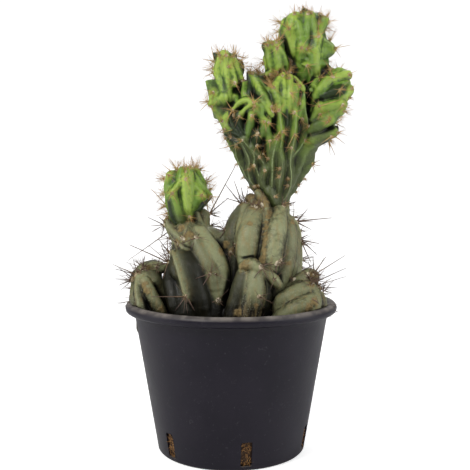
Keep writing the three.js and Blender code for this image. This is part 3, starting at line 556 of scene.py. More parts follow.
def new_rib(kind, half_width, crest, outs, tone, **more):
    wider, tall, keel, edge = KINDS[kind]
    half_width *= wider
    sizes = {"half_width": half_width, "half_height": half_width * tall, "keel": keel, "edge": edge}
    return {**sizes, "crest": crest, "outs": outs, "tone": tone, **more}


def rib_from(row, skin, growth, draw):
    """A listed rib. On fresh growth its tip stands out a little, as a knob under the areole."""
    words, half_width, lift, *places = row
    tone, kind = ("plain " + words).split()[-2:]
    points = [on_skin(skin, x, z) for x, z in places]
    outs = [outward(skin, point) for point in points]
    shares = np.linspace(0, 1, len(points))
    lifts = lift + growth["tip_lift"] * shares**3
    crest = [point + out * high for point, out, high in zip(points, outs, lifts)]
    towards_eye = np.array([0, -0.5, 0])
    outs = [unit(out + towards_eye) for out in outs]
    return new_rib(kind, half_width, crest, outs, draw.uniform(*TONES[tone]))


def filling_ribs(shoot, skin, growth, draw):
    """Tiers of long wavy ribs all round. In front they lie sunk, behind the ribs that were read there."""
    bottom, top = skin[0, 0], skin[-1, 0]
    stray, wave = FILLING["stray"], FILLING["wave"]
    ribs = []
    for start, end, count, half_width in shoot["back"]:
        for i in range(2 * count):
            turn = math.pi * ((i + 0.5 + draw.uniform(-stray, stray)) / count)
            behind = math.sin(turn) > 0
            lift = 0 if behind else -growth["sunk"]
            crest, outs = [], []
            for share in np.linspace(0, 1, FILLING["points"]):
                z = mix(bottom, top, mix(start, end, share))
                middle_x, middle_y, wide, deep = section_at(skin, z)
                side = (math.cos(turn) * max(wide + lift, 1), math.sin(turn) * max(deep + lift, 1), 0)
                point = np.array([middle_x, middle_y, z]) + side
                crest.append(point)
                outs.append(outward(skin, point))
                turn += draw.uniform(-wave, wave)
            size = half_width * draw.uniform(*FILLING["size"])
            # Ribs sunk in front take a dark tone as painted shade.
            tone = draw.uniform(*FILLING["tone"]) if behind else FILLING["sunk_shade_tone"]
            ribs.append(new_rib(growth["filling"], size, crest, outs, tone, filling=True, behind=behind))
    return ribs


def ribs_of(growth, draw):
    ribs = []
    for shoot in growth["shoots"]:
        skin = np.array(shoot["skin"], float)
        ribs += [rib_from(row, skin, growth, draw) for row in shoot["ribs"]]
        ribs += filling_ribs(shoot, skin, growth, draw)
    return ribs


# ---- Distance field ----

# The distance that stands for far away, and how far one tone takes to pass into the next, in millimetres.
FAR = 50
TONE_EDGE = 4.0

# The plain body's place between valley and crest, its tone, and how flat its two ends are.
BODY = {"crest": -0.5, "tone": 0.5, "flatness": 2}

# How much a rib thins to its ends, how deep its root dives as a share of its height, and over which share.
THINNING = 0.18
ROOT_DIVE = 0.45
ROOT_SHARE = 0.3

# Depths tried along a sight line, from in front of the plant to behind its middle.
DEPTHS = np.arange(-95, 45, 0.5)


class Field:
    """Signed distances on a grid, with what the skin's colours need to know about each place."""

    def __init__(self, low, high, step):
        self.low = np.asarray(low, np.float32)
        self.step = step
        self.count = np.ceil((np.asarray(high) - self.low) / step).astype(int) + 1
        self.distance = np.full(self.count, FAR, np.float32)
        self.nearest = np.full(self.count, FAR, np.float32)
        self.crest = np.zeros(self.count, np.float32)
        self.tone = np.zeros(self.count, np.float32)

    def window(self, low, high):
        """The part of the grid between two corners, as slices and as points."""
        start = np.clip(np.floor((low - self.low) / self.step).astype(int), 0, self.count - 1)
        end = np.clip(np.ceil((high - self.low) / self.step).astype(int) + 1, start + 1, self.count)
        slices = tuple(slice(a, b) for a, b in zip(start, end))
        axes = [self.low[k] + self.step * np.arange(start[k], end[k]) for k in range(3)]
        return slices, np.stack(np.meshgrid(*axes, indexing="ij"), -1).astype(np.float32)

    def join(self, slices, distance, blend, crest, tone):
        """Joins a shape to what is there, with a soft valley between them."""
        old = self.distance[slices]
        overlap = np.maximum(blend - np.abs(old - distance), 0) / blend
        self.distance[slices] = np.minimum(old, distance) - overlap**2 * blend / 4
        nearest = self.nearest[slices]
        closer = distance < nearest
        share = np.clip(0.5 + (nearest - distance) / TONE_EDGE, 0, 1)
        self.nearest[slices] = np.where(closer, distance, nearest)
        self.crest[slices] = np.where(closer, crest, self.crest[slices])
        self.tone[slices] = mix(self.tone[slices], tone, share)

    def sample(self, values, points):
        """Values between the grid's points."""
        place = (points - self.low) / self.step
        cell = np.clip(np.floor(place).astype(int), 0, self.count - 2)
        t = place - cell
        total = 0
        for corner in np.ndindex(2, 2, 2):
            weight = np.prod(np.where(corner, t, 1 - t), axis=1)
            x, y, z = (cell + corner).T
            total = total + weight * values[x, y, z]
        return total

    def slope(self, points):
        reach = self.step * 0.5
        sides = [
            self.sample(self.distance, points + way) - self.sample(self.distance, points - way)
            for way in np.eye(3) * reach
        ]
        return np.stack(sides, -1) / (2 * reach)

    def settle(self, points, rounds=2):
        """Moves points onto the surface."""
        for _ in range(rounds):
            slope = self.slope(points)
            value = self.sample(self.distance, points)
            points = points - slope * (value / np.maximum((slope**2).sum(1), 0.25))[:, None]
        return points

    def first_hit(self, x, z):
        """Where the sight line through (x, z) meets the surface, or comes closest to it."""
        line = np.array([seen_at(x, z, depth) for depth in DEPTHS])
        values = self.sample(self.distance, line)
        inside = np.flatnonzero(values < 0)
        best = inside[0] if len(inside) else int(values.argmin())
        return self.settle(line[best : best + 1], 4)[0]


def add_body(field, shoot, core, blend):
    """A shoot's plain body of level ovals."""
    skin = np.array(shoot["skin"], np.float32)
    height, middle_x, middle_y = skin[:, :3].T
    wide = skin[:, 3] * core
    deep = skin[:, 4] * core
    margin = 6
    low = np.array([(middle_x - wide).min(), (middle_y - deep).min(), height[0]]) - margin
    high = np.array([(middle_x + wide).max(), (middle_y + deep).max(), height[-1]]) + margin
    slices, points = field.window(low, high)
    level = np.clip(points[..., 2], height[0], height[-1])
    a = np.interp(level, height, wide)
    b = np.interp(level, height, deep)
    x = points[..., 0] - np.interp(level, height, middle_x)
    y = points[..., 1] - np.interp(level, height, middle_y)
    z = points[..., 2] - level
    ellipse = np.sqrt((x / a) ** 2 + (y / b) ** 2 + (z / np.minimum(a, b) * BODY["flatness"]) ** 2) + 1e-6
    length = np.sqrt(x * x + y * y + z * z)
    field.join(slices, length * (1 - 1 / ellipse), blend, BODY["crest"], BODY["tone"])


def rib_frames(rib, count, swell):
    """Samples along a rib: middle, ways out and across, and its size, with a swelling at each areole."""
    crest = smooth_line(rib["crest"], count)
    outs = smooth_line(rib["outs"], count)
    along = unit(np.gradient(crest, axis=0))
    outs = unit(outs - (outs * along).sum(1, keepdims=True) * along)
    for i in range(1, count):
        if outs[i] @ outs[i - 1] < 0.5:
            outs[i] = unit(outs[i - 1] - (outs[i - 1] @ along[i]) * along[i])
    across = np.cross(along, outs)
    t = np.linspace(0, 1, count)
    waves = max(1, round(length_of(crest) / AREOLE_GAP))
    size = (1 - THINNING * (2 * t - 1) ** 4) * (1 + swell * np.cos(2 * np.pi * waves * (t - 1)))
    sunk = np.zeros(count) if rib.get("filling") else ROOT_DIVE * np.clip(1 - t / ROOT_SHARE, 0, 1) ** 2
    middle = crest - outs * (rib["half_height"] * (1 + sunk))[:, None]
    return [v.astype(np.float32) for v in (middle, outs, across, size)]


def add_rib(field, rib, blend, swell):
    """A rib: ovals along its crest, narrower towards the crest by keel."""
    count = int(np.clip(length_of(np.array(rib["crest"])) / 4, 5, 16))
    middle, outs, across, size = rib_frames(rib, count, swell)
    keel = rib["keel"]
    pad = max(rib["half_width"] * (1 + keel), rib["half_height"]) + 2.5
    slices, grid = field.window(middle.min(0) - pad, middle.max(0) + pad)
    start = np.array([s.start for s in slices])
    distance = np.full(grid.shape[:3], FAR, np.float32)
    crest = np.zeros_like(distance)
    for i in range(count - 1):
        a, b = middle[i], middle[i + 1]
        part, points = field.window(np.minimum(a, b) - pad, np.maximum(a, b) + pad)
        local = tuple(slice(s.start - o, s.stop - o) for s, o in zip(part, start))
        step = b - a
        u = np.clip(((points - a) @ step) / (step @ step), 0, 1)
        q = points - (a + u[..., None] * step)
        out = (q * mix(outs[i], outs[i + 1], u[..., None])).sum(-1)
        side = (q * mix(across[i], across[i + 1], u[..., None])).sum(-1)
        end = q @ (step / np.linalg.norm(step))
        scale = mix(size[i], size[i + 1], u)
        rise = out / (rib["half_height"] * scale)
        wide = rib["half_width"] * scale * (1 - keel * np.clip(rise, -1, 1))
        ellipse = np.sqrt(rise**2 + (side / wide) ** 2 + (end / wide) ** 2) + 1e-6
        found = np.sqrt((q * q).sum(-1)) * (1 - 1 / ellipse)
        closer = found < distance[local]
        distance[local] = np.where(closer, found, distance[local])
        height = np.maximum(np.abs(rise), 0.85 * np.abs(end) / wide)
        crest[local] = np.where(closer, height / ellipse * rib["edge"], crest[local])
    field.join(slices, distance, blend, crest, rib["tone"])


def grow(growth):
    """The field of a growth's shoots, grown together, and their ribs."""
    ribs = ribs_of(growth, np.random.default_rng(growth["seed"]))
    points = np.vstack([rib["crest"] for rib in ribs])
    margin = 16
    field = Field(points.min(0) - margin, points.max(0) + margin, growth["step"])
    for shoot in growth["shoots"]:
        add_body(field, shoot, growth["core"], growth["blend"])
    for rib in ribs:
        add_rib(field, rib, growth["blend"], growth["swell"])
    return field, ribs


def surface(field):
    """The field's zero surface: one point a crossed cell, and quads between them, faces out."""
    values = field.distance
    inside = values < 0
    cells = np.array(values.shape) - 1
    total = np.zeros((*cells, 3), np.float32)
    crossings = np.zeros(cells, np.float32)
    for axis in range(3):
        others = [k for k in range(3) if k != axis]
        for corner in np.ndindex(2, 2):
            offset = np.zeros(3, int)
            offset[others] = corner
            near = tuple(slice(o, o + n) for o, n in zip(offset, cells))
            offset[axis] = 1
            far = tuple(slice(o, o + n) for o, n in zip(offset, cells))
            offset[axis] = 0
            crossed = inside[near] != inside[far]
            gap = np.where(crossed, values[near] - values[far], 1)
            share = np.where(crossed, values[near] / gap, 0)
            for k in range(3):
                total[..., k] += crossed * (share if k == axis else offset[k])
            crossings += crossed
    used = crossings > 0
    ids = np.full(cells, -1)
    ids[used] = np.arange(used.sum())
    points = field.low + (np.argwhere(used) + total[used] / crossings[used][:, None]) * field.step
    quads = []
    for axis in range(3):
        first, second = (axis + 1) % 3, (axis + 2) % 3
        near = [slice(1, n) for n in cells]
        near[axis] = slice(0, cells[axis])
        far = list(near)
        far[axis] = slice(1, cells[axis] + 1)
        crossed = inside[tuple(near)] != inside[tuple(far)]
        cell = np.argwhere(crossed) + 1
        cell[:, axis] -= 1
        corners = []
        for a, b in ((1, 1), (0, 1), (0, 0), (1, 0)):
            other = cell.copy()
            other[:, first] -= a
            other[:, second] -= b
            corners.append(ids[tuple(other.T)])
        faces = np.stack(corners, 1)
        turned = ~inside[tuple(near)][crossed]
        faces[turned] = faces[turned][:, ::-1]
        quads.append(faces)
    return points, np.vstack(quads)


# ---- Meshes ----


def mesh_object(name, points, faces, values=None):
    """An object at the origin: points in millimetres, faces of one size, and named values at the points."""
    mesh = bpy.data.meshes.new(name)
    faces = np.asarray(faces)
    mesh.vertices.add(len(points))
    mesh.vertices.foreach_set("co", (np.asarray(points) * MM).astype(np.float32).ravel())
    if len(faces):
        sides = faces.shape[1]
        mesh.loops.add(faces.size)
        mesh.loops.foreach_set("vertex_index", faces.astype(np.int32).ravel())
        mesh.polygons.add(len(faces))
        mesh.polygons.foreach_set("loop_start", np.arange(0, faces.size, sides, dtype=np.int32))
        mesh.polygons.foreach_set("use_smooth", np.ones(len(faces), bool))
        mesh.update(calc_edges=True)
    for key, array in (values or {}).items():
        kind, part = ("FLOAT_VECTOR", "vector") if np.ndim(array) == 2 else ("FLOAT", "value")
        attribute = mesh.attributes.new(key, kind, "POINT")
        attribute.data.foreach_set(part, np.asarray(array, np.float32).ravel())
    made = bpy.data.objects.new(name, mesh)
    bpy.context.collection.objects.link(made)
    return made


def finish_piece(piece, replaces=None):
    """Fixes a piece to the plant's one body, and hides the model part that it replaces, if any."""
    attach(piece, "root")
    if replaces:
        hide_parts(replaces)
    return piece


def lathe(profile, segments):
    """Points and quads of a profile, (radius, height), turned about Z. It closes on itself."""
    turns = np.linspace(0, 2 * np.pi, segments, endpoint=False)
    radius, height = np.array(profile).T
    x, y = np.outer(np.cos(turns), radius), np.outer(np.sin(turns), radius)
    points = np.stack([x, y, np.outer(np.ones(segments), height)], -1).reshape(-1, 3)
    count = len(profile)
    faces = []
    for i in range(segments):
        a, b = i * count, ((i + 1) % segments) * count
        for j in range(count):
            k = (j + 1) % count
            faces.append((a + j, b + j, b + k, a + k))
    return points, np.array(faces)


def welded(piece):
    """Merges doubles, drops the flat faces left on the axis and turns all faces outwards."""
    work = bmesh.new()
    work.from_mesh(piece.data)
    bmesh.ops.remove_doubles(work, verts=work.verts, dist=1e-6)
    bmesh.ops.dissolve_degenerate(work, edges=work.edges, dist=1e-7)
    bmesh.ops.recalc_face_normals(work, faces=work.faces)
    work.to_mesh(piece.data)
    work.free()
    return piece


def as_plain_mesh(piece):
    """The piece with its modifiers' result as its own mesh."""
    graph = bpy.context.evaluated_depsgraph_get()
    shaped = piece.evaluated_get(graph)
    mesh = bpy.data.meshes.new_from_object(shaped, preserve_all_data_layers=True, depsgraph=graph)
    piece.modifiers.clear()
    piece.data = mesh
    mesh.name = piece.name
    return piece


def look_of(piece, material):
    piece.data.materials.clear()
    piece.data.materials.append(bpy.data.materials[material])


# ---- Node trees ----


def node(tree, kind, inputs=None, **settings):
    """Adds a node with its settings, and sets or joins its inputs."""
    made = tree.nodes.new(kind)
    for key, value in settings.items():
        setattr(made, key, value)
    for key, value in (inputs or {}).items():
        if isinstance(value, bpy.types.NodeSocket):
            tree.links.new(value, made.inputs[key])
        else:
            made.inputs[key].default_value = value
    return made


def new_group(name, kind, inputs, outputs):
    """A node group with named inputs (kind, default) and outputs."""
    tree = bpy.data.node_groups.new(name, kind)
    for key, (socket, default) in inputs.items():
        made = tree.interface.new_socket(key, in_out="INPUT", socket_type="NodeSocket" + socket)
        if default is not None:
            made.default_value = default
    for key, socket in outputs.items():
        tree.interface.new_socket(key, in_out="OUTPUT", socket_type="NodeSocket" + socket)
    return tree, tree.nodes.new("NodeGroupInput").outputs, tree.nodes.new("NodeGroupOutput").inputs


def named(**values):
    """Values under the names of a tree's inputs, written with _ for a space."""
    return {key.replace("_", " "): value for key, value in values.items()}


def numbers(**defaults):
    """Inputs of a group that are plain numbers."""
    return {key: ("Float", value) for key, value in named(**defaults).items()}


def scalar(tree, operation, a, b, clamp=False):
    return node(tree, "ShaderNodeMath", {0: a, 1: b}, operation=operation, use_clamp=clamp).outputs[0]


def times(tree, first, *others):
    for other in others:
        first = scalar(tree, "MULTIPLY", first, other)
    return first


def plus(tree, a, b, share=1.0, clamp=False):
    """a and a share of b, added."""
    return scalar(tree, "ADD", a, b if share == 1.0 else times(tree, b, share), clamp)


def stirred(tree, value, mask, amount):
    """A value moved up and down by a mask."""
    return plus(tree, value, scalar(tree, "SUBTRACT", mask, 0.5), amount)


def vector(tree, operation, a, b=(0, 0, 0)):
    return node(tree, "ShaderNodeVectorMath", {0: a, 1: b}, operation=operation).outputs[0]


def scaled(tree, value, amount):
    return node(tree, "ShaderNodeVectorMath", {0: value, "Scale": amount}, operation="SCALE").outputs[0]


def combined(tree, x=0.0, y=0.0, z=0.0):
    return node(tree, "ShaderNodeCombineXYZ", {0: x, 1: y, 2: z}).outputs[0]


def ramp(tree, value, low, high, to_low=0.0, to_high=1.0):
    """A value carried smoothly from one range to another."""
    inputs = {0: value, 1: low, 2: high, 3: to_low, 4: to_high}
    return node(tree, "ShaderNodeMapRange", inputs, interpolation_type="SMOOTHSTEP").outputs[0]


def mixed(tree, share, first, second):
    return node(tree, "ShaderNodeMix", {0: share, 2: first, 3: second}).outputs[0]


def blended(tree, share, first, second):
    return node(tree, "ShaderNodeMix", {0: share, 6: first, 7: second}, data_type="RGBA").outputs[2]


def point_value(tree, name):
    """A value that the piece's mesh carries at its points."""
    return node(tree, "ShaderNodeAttribute", attribute_name=name).outputs["Fac"]


def placed(tree, name, inputs):
    """The outputs of a group that is placed among a tree's nodes."""
    return node(tree, "ShaderNodeGroup", inputs, node_tree=bpy.data.node_groups[name]).outputs


def mottle(tree, patch, detail, low=0.3, high=0.7, **more):
    """A mask of soft patches, their size in millimetres."""
    return placed(tree, "Mottle", {"Patch": patch, "Detail": detail, "From": low, "To": high, **more})["Mask"]


def grain(tree, coarse, fine, share):
    return placed(tree, "Grain", {"Coarse": coarse, "Fine": fine, "Share": share})["Height"]


# ---- Finishes ----

# Colours on a screen, 0 to 255, of the skin of fresh and of old growth. The flesh's are settings.
SKIN_COLOURS = {
    # Painted shade in the valleys.
    "Valley": ((8, 13, 4), (12, 11, 7)),
    # Darker towards the foot: on old stems painted shade with soil stain.
    "Low": ((78, 88, 48), (24, 18, 12)),
    # Painted shade on the flanks and on ribs of a dark tone.
    "Flank": ((22, 41, 7), (18, 18, 10)),
    # A pale crest line that is partly a painted highlight, and the real pale specks.
    "Crest": ((156, 172, 118), (164, 168, 140)),
    # Painted highlight on ribs of a bright tone, and the real yellow halo round the areoles.
    "Tip": ((178, 204, 82), (156, 160, 118)),
    "Cork": ((150, 140, 96), (150, 130, 86)),
    "Scar": ((150, 132, 84), (104, 80, 48)),
    "Bloom": ((112, 140, 80), (140, 144, 110)),
}
SKIN_AMOUNTS = {
    "Bloom Amount": (0.25, 0.7),
    "Streak Amount": (0.0, 0.6),
    "Speck Amount": (0.2, 0.5),
    "Crest Amount": (0.85, 0.35),
}
SKIN_SHEEN = (0.5, 0.3)

# Darkest and lightest colour, and roughness.
EARTHS = {
    "Potting mix": ((38, 28, 22), (92, 68, 48), 0.95),
    "Bark chips": ((52, 36, 26), (142, 104, 68), 0.85),
    "Coir fibres": ((88, 58, 34), (190, 142, 86), 0.8),
    "Areole wool": ((158, 138, 104), (232, 222, 196), 0.95),
}

# Colours at the root, the middle and the point.
SPINES = {
    "Fresh spines": ((228, 204, 132), (184, 136, 82), (98, 52, 42)),
    "Old spines": ((140, 112, 84), (100, 80, 70), (74, 58, 56)),
}

# The dust colour also stands for a painted highlight on the rim's top.
PLASTIC = {"patches": (34, 30, 42), "scuffs": (110, 108, 112), "dust": (160, 152, 144), "sheen": 0.28}


def linear(*srgb):
    """A colour from its 0 to 255 values on a screen."""
    parts = [value / 255 for value in srgb]
    return tuple(p / 12.92 if p <= 0.04045 else ((p + 0.055) / 1.055) ** 2.4 for p in parts)


def solid(srgb):
    """The same, with full cover."""
    return (*linear(*srgb), 1)


def make_mottle():
    """Soft patches: a mask from noise in the piece's own millimetres."""
    inputs = numbers(Patch=10.0, Detail=3.0, From=0.4, To=0.6, Warp=0.0, Tall=1.0)
    tree, given, out = new_group("Mottle", "ShaderNodeTree", inputs, {"Mask": "Float"})
    place = node(tree, "ShaderNodeTexCoord").outputs["Object"]
    drawn_out = combined(tree, 1.0, 1.0, scalar(tree, "DIVIDE", 1.0, given["Tall"]))
    place = vector(tree, "MULTIPLY", place, drawn_out)
    scale = scalar(tree, "DIVIDE", 1 / MM, given["Patch"])
    settings = {"Vector": place, "Scale": scale, "Detail": given["Detail"], "Distortion": given["Warp"]}
    noise = node(tree, "ShaderNodeTexNoise", settings)
    tree.links.new(ramp(tree, noise.outputs[0], given["From"], given["To"]), out["Mask"])


def make_grain():
    """Fine relief of two sizes, as a height from 0 to 1."""
    inputs = numbers(Coarse=4.0, Fine=0.8, Share=0.4)
    tree, given, out = new_group("Grain", "ShaderNodeTree", inputs, {"Height": "Float"})
    place = node(tree, "ShaderNodeTexCoord").outputs["Object"]
    layers = []
    for key in ("Coarse", "Fine"):
        settings = {"Vector": place, "Scale": scalar(tree, "DIVIDE", 1 / MM, given[key]), "Detail": 3.0}
        layers.append(node(tree, "ShaderNodeTexNoise", settings).outputs[0])
    tree.links.new(mixed(tree, given["Share"], *layers), out["Height"])


def make_dust_and_highlight():
    """Pale dust on what faces up, broken into patches, which also stands for a painted highlight on the rim's
    top.
    """
    inputs = {"Colour": ("Color", (0, 0, 0, 1)), "Dust": ("Color", (0.5, 0.5, 0.5, 1)), **numbers(Amount=0.5)}
    tree, given, out = new_group("Dust", "ShaderNodeTree", inputs, {"Color": "Color", "Mask": "Float"})
    normal = node(tree, "ShaderNodeNewGeometry").outputs["Normal"]
    up = node(tree, "ShaderNodeSeparateXYZ", {0: normal}).outputs["Z"]
    spread = plus(tree, times(tree, mottle(tree, 9.0, 5.0, 0.35, 0.65), 0.6), 0.4)
    facing = ramp(tree, up, 0.15, 0.95)
    amount = scalar(tree, "MULTIPLY", times(tree, facing, spread), given["Amount"], clamp=True)
    tree.links.new(amount, out["Mask"])
    tree.links.new(blended(tree, amount, given["Colour"], given["Dust"]), out["Color"])


def make_skin():
    """Skin: painted shade in the valleys and on the flanks, pale along the crests with a painted highlight,
    painted highlights on bright ribs, yellow round the areoles, darker low down, which on old stems is
    painted shade with soil stain.
    """
    inputs = {key: ("Color", (0.5, 0.5, 0.5, 1)) for key in ("Flesh", *SKIN_COLOURS)}
    inputs.update({key: ("Float", 0.0) for key in SKIN_AMOUNTS})
    outputs = {"Color": "Color", "Roughness": "Float", "Height": "Float"}
    tree, given, out = new_group("Skin", "ShaderNodeTree", inputs, outputs)
    crest = point_value(tree, "crest")
    tone = point_value(tree, "tone")
    near = point_value(tree, "wool")
    broad = mottle(tree, 22.0, 2.0)
    small = mottle(tree, 3.0, 4.0)
    speck = mottle(tree, 0.9, 2.0, 0.56, 0.72)
    streaks = mottle(tree, 2.6, 5.0, 0.45, 0.75, Tall=7.0)
    varied = stirred(tree, stirred(tree, crest, small, 0.35), broad, 0.4)
    # The age value is 0 at the foot; on old stems the foot's colour is painted shade with soil stain.
    grown = ramp(tree, stirred(tree, point_value(tree, "age"), broad, 0.4), 0.0, 1.0)
    # Painted highlight: ribs of a bright tone, towards their crests.
    lit = times(tree, ramp(tree, tone, 0.35, 0.9), ramp(tree, varied, 0.35, 1.0))
    # The pale line along the very crest, partly a painted highlight.
    line = ramp(tree, plus(tree, crest, small, 0.03), 0.9, 0.99)
    # Painted shade: what is shut in turns to the valley colour.
    sunk = ramp(tree, point_value(tree, "hollow"), 0.18, 0.78)
    cork = ramp(tree, plus(tree, point_value(tree, "cork"), small, 0.45), 0.45, 0.95)
    wool = ramp(tree, plus(tree, near, small, 0.12), 0.78, 0.95)
    # Painted shade and highlight across each rib: the flanks darker, the flesh lighter towards the crest.
    colour = blended(tree, ramp(tree, varied, -0.12, 0.95), given["Flank"], given["Flesh"])
    # Darker towards the foot: on old stems painted shade with soil stain.
    colour = blended(tree, grown, given["Low"], colour)
    layers = (
        # Painted highlight on ribs of a bright tone.
        ("Tip", times(tree, lit, grown, 0.85)),
        ("Bloom", times(tree, broad, ramp(tree, crest, 0.3, 0.9), given["Bloom Amount"], grown)),
        ("Cork", times(tree, streaks, given["Streak Amount"])),
        ("Crest", times(tree, speck, given["Speck Amount"])),
        # The real yellow halo round the areoles.
        ("Tip", times(tree, ramp(tree, near, 0.2, 0.7), 0.55, grown)),
        # Partly a painted highlight along the crests.
        ("Crest", times(tree, line, given["Crest Amount"])),
        # Painted shade: ribs of a dark tone, where they lie in shadow, turn to the flank colour.
        ("Flank", times(tree, ramp(tree, tone, 0.4, 0.05), 0.95)),
        # Painted shade in the valleys, by how shut in the skin is.
        ("Valley", times(tree, sunk, 0.95)),
        ("Cork", times(tree, cork, 0.85)),
        ("Scar", times(tree, cork, scalar(tree, "SUBTRACT", 1.0, small), 0.55)),
        ("Scar", times(tree, wool, 0.6)),
    )
    for key, share in layers:
        colour = blended(tree, share, colour, given[key])
    tree.links.new(colour, out["Color"])
    rough = plus(tree, plus(tree, 0.36, small, 0.14), cork, 0.35, clamp=True)
    tree.links.new(rough, out["Roughness"])
    tree.links.new(plus(tree, grain(tree, 5.0, 0.9, 0.35), times(tree, cork, small)), out["Height"])


def new_material(name):
    material = bpy.data.materials.new(name)
    material.use_nodes = True
    tree = material.node_tree
    return tree, tree.nodes["Principled BSDF"].inputs


def bumped(tree, height, depth):
    """A normal from a height, its depth in millimetres."""
    inputs = {"Height": height, "Distance": depth * MM, "Strength": 1.0}
    return node(tree, "ShaderNodeBump", inputs).outputs[0]


def skin_material(name, flesh, age):
    """Skin of an age: 0 is fresh, 1 is old."""
    tree, shader = new_material(name)
    given = {key: solid(colours[age]) for key, colours in SKIN_COLOURS.items()}
    given.update({key: amounts[age] for key, amounts in SKIN_AMOUNTS.items()})
    skin = placed(tree, "Skin", {"Flesh": (*flesh, 1), **given})
    tree.links.new(skin["Color"], shader["Base Color"])
    tree.links.new(skin["Roughness"], shader["Roughness"])
    tree.links.new(bumped(tree, skin["Height"], 0.8), shader["Normal"])
    shader["Specular IOR Level"].default_value = SKIN_SHEEN[age]


def plastic_material(colour):
    """Satin dark plastic with faint mottling, scuffs, and dust with a painted highlight on the rim."""
    tree, shader = new_material("Pot plastic")
    broad = mottle(tree, 40.0, 4.0)
    scuff = mottle(tree, 3.5, 6.0, 0.62, 0.72, Warp=2.0)
    worn = blended(tree, times(tree, broad, 0.5), (*colour, 1), solid(PLASTIC["patches"]))
    worn = blended(tree, times(tree, scuff, 0.12), worn, solid(PLASTIC["scuffs"]))
    # Dust on what faces up, which is also a painted highlight on the rim's top.
    dusty_and_lit = placed(tree, "Dust", {"Colour": worn, "Dust": solid(PLASTIC["dust"]), "Amount": 0.6})
    tree.links.new(dusty_and_lit["Color"], shader["Base Color"])
    rough = plus(tree, plus(tree, 0.36, broad, 0.1), dusty_and_lit["Mask"], 0.4, clamp=True)
    tree.links.new(rough, shader["Roughness"])
    tree.links.new(bumped(tree, grain(tree, 6.0, 0.7, 0.3), 0.12), shader["Normal"])
    shader["Specular IOR Level"].default_value = PLASTIC["sheen"]


def earth_material(name, dark, light, roughness):
    """Bark, coir or crumbs, each bit with its own tone."""
    tree, shader = new_material(name)
    share = plus(tree, times(tree, point_value(tree, "tone"), 0.7), mottle(tree, 1.6, 4.0), 0.3)
    tree.links.new(blended(tree, share, solid(dark), solid(light)), shader["Base Color"])
    shader["Roughness"].default_value = roughness
    tree.links.new(bumped(tree, grain(tree, 1.2, 0.4, 0.5), 0.5), shader["Normal"])


def spine_material(name, root, middle, tip):
    """Horny spines, three colours from root to point."""
    tree, shader = new_material(name)
    along = point_value(tree, "height")
    colour = blended(tree, ramp(tree, along, 0.0, 0.45), solid(root), solid(middle))
    colour = blended(tree, ramp(tree, along, 0.45, 1.0), colour, solid(tip))
    colour = blended(tree, times(tree, point_value(tree, "tone"), 0.4), colour, solid(root))
    tree.links.new(colour, shader["Base Color"])
    tree.links.new(plus(tree, 0.4, mottle(tree, 1.0, 2.0), 0.2), shader["Roughness"])


def make_finishes(settings):
    make_mottle()
    make_grain()
    make_dust_and_highlight()
    make_skin()
    skin_material("Fresh skin", settings.fresh_colour, 0)
    skin_material("Old skin", settings.old_colour, 1)
    plastic_material(settings.pot_colour)
    for name, look in EARTHS.items():
        earth_material(name, *look)
    for name, colours in SPINES.items():
        spine_material(name, *colours)


# ---- Geometry Nodes ----

FULL_TURN = 6.283


def drawn(tree, given, turn, low, high):
    """A number or a vector drawn for each point, by the tree's seed and the draw's turn."""
    kind, first, result = ("FLOAT_VECTOR", 0, 0) if isinstance(low, tuple) else ("FLOAT", 2, 1)
    seed = scalar(tree, "ADD", given["Seed"], float(turn))
    inputs = {first: low, first + 1: high, "Seed": seed}
    return node(tree, "FunctionNodeRandomValue", inputs, data_type=kind).outputs[result]


def named_value(tree, name, kind):
    return node(tree, "GeometryNodeInputNamedAttribute", {"Name": name}, data_type=kind).outputs[0]


def stored(tree, geometry, name, value):
    inputs = {"Geometry": geometry, "Name": name, "Value": value}
    return node(tree, "GeometryNodeStoreNamedAttribute", inputs, data_type="FLOAT", domain="POINT").outputs[0]


def copies(tree, given, points, shape, stray, size):
    """A shape on each point, turned along its strayed way out, rolled, toned, and made real."""
    away = scaled(tree, drawn(tree, given, 0, (-1.0, -1.0, -1.0), (1.0, 1.0, 1.0)), stray)
    way = vector(tree, "NORMALIZE", vector(tree, "ADD", named_value(tree, "out", "FLOAT_VECTOR"), away))
    turned = node(tree, "FunctionNodeAlignRotationToVector", {"Vector": way}, axis="Z").outputs[0]
    roll = combined(tree, z=drawn(tree, given, 1, 0.0, FULL_TURN))
    rolled = node(tree, "FunctionNodeRotateRotation", {0: turned, 1: roll}, rotation_space="LOCAL").outputs[0]
    toned = stored(tree, points, "tone", drawn(tree, given, 3, 0.0, 1.0))
    inputs = {"Points": toned, "Instance": shape, "Rotation": rolled, "Scale": size}
    placed_shapes = node(tree, "GeometryNodeInstanceOnPoints", inputs).outputs[0]
    return node(tree, "GeometryNodeRealizeInstances", {0: placed_shapes}).outputs[0]


def drawn_size(tree, given, least, most):
    """Each copy's size, between two of the tree's inputs, times the reach of its point."""
    size = mixed(tree, drawn(tree, given, 2, 0.0, 1.0), given[least], given[most])
    return times(tree, size, named_value(tree, "reach", "FLOAT"))


def dressed(tree, given, geometry, result):
    inputs = {"Geometry": geometry, "Material": given["Material"]}
    tree.links.new(node(tree, "GeometryNodeSetMaterial", inputs).outputs[0], result)


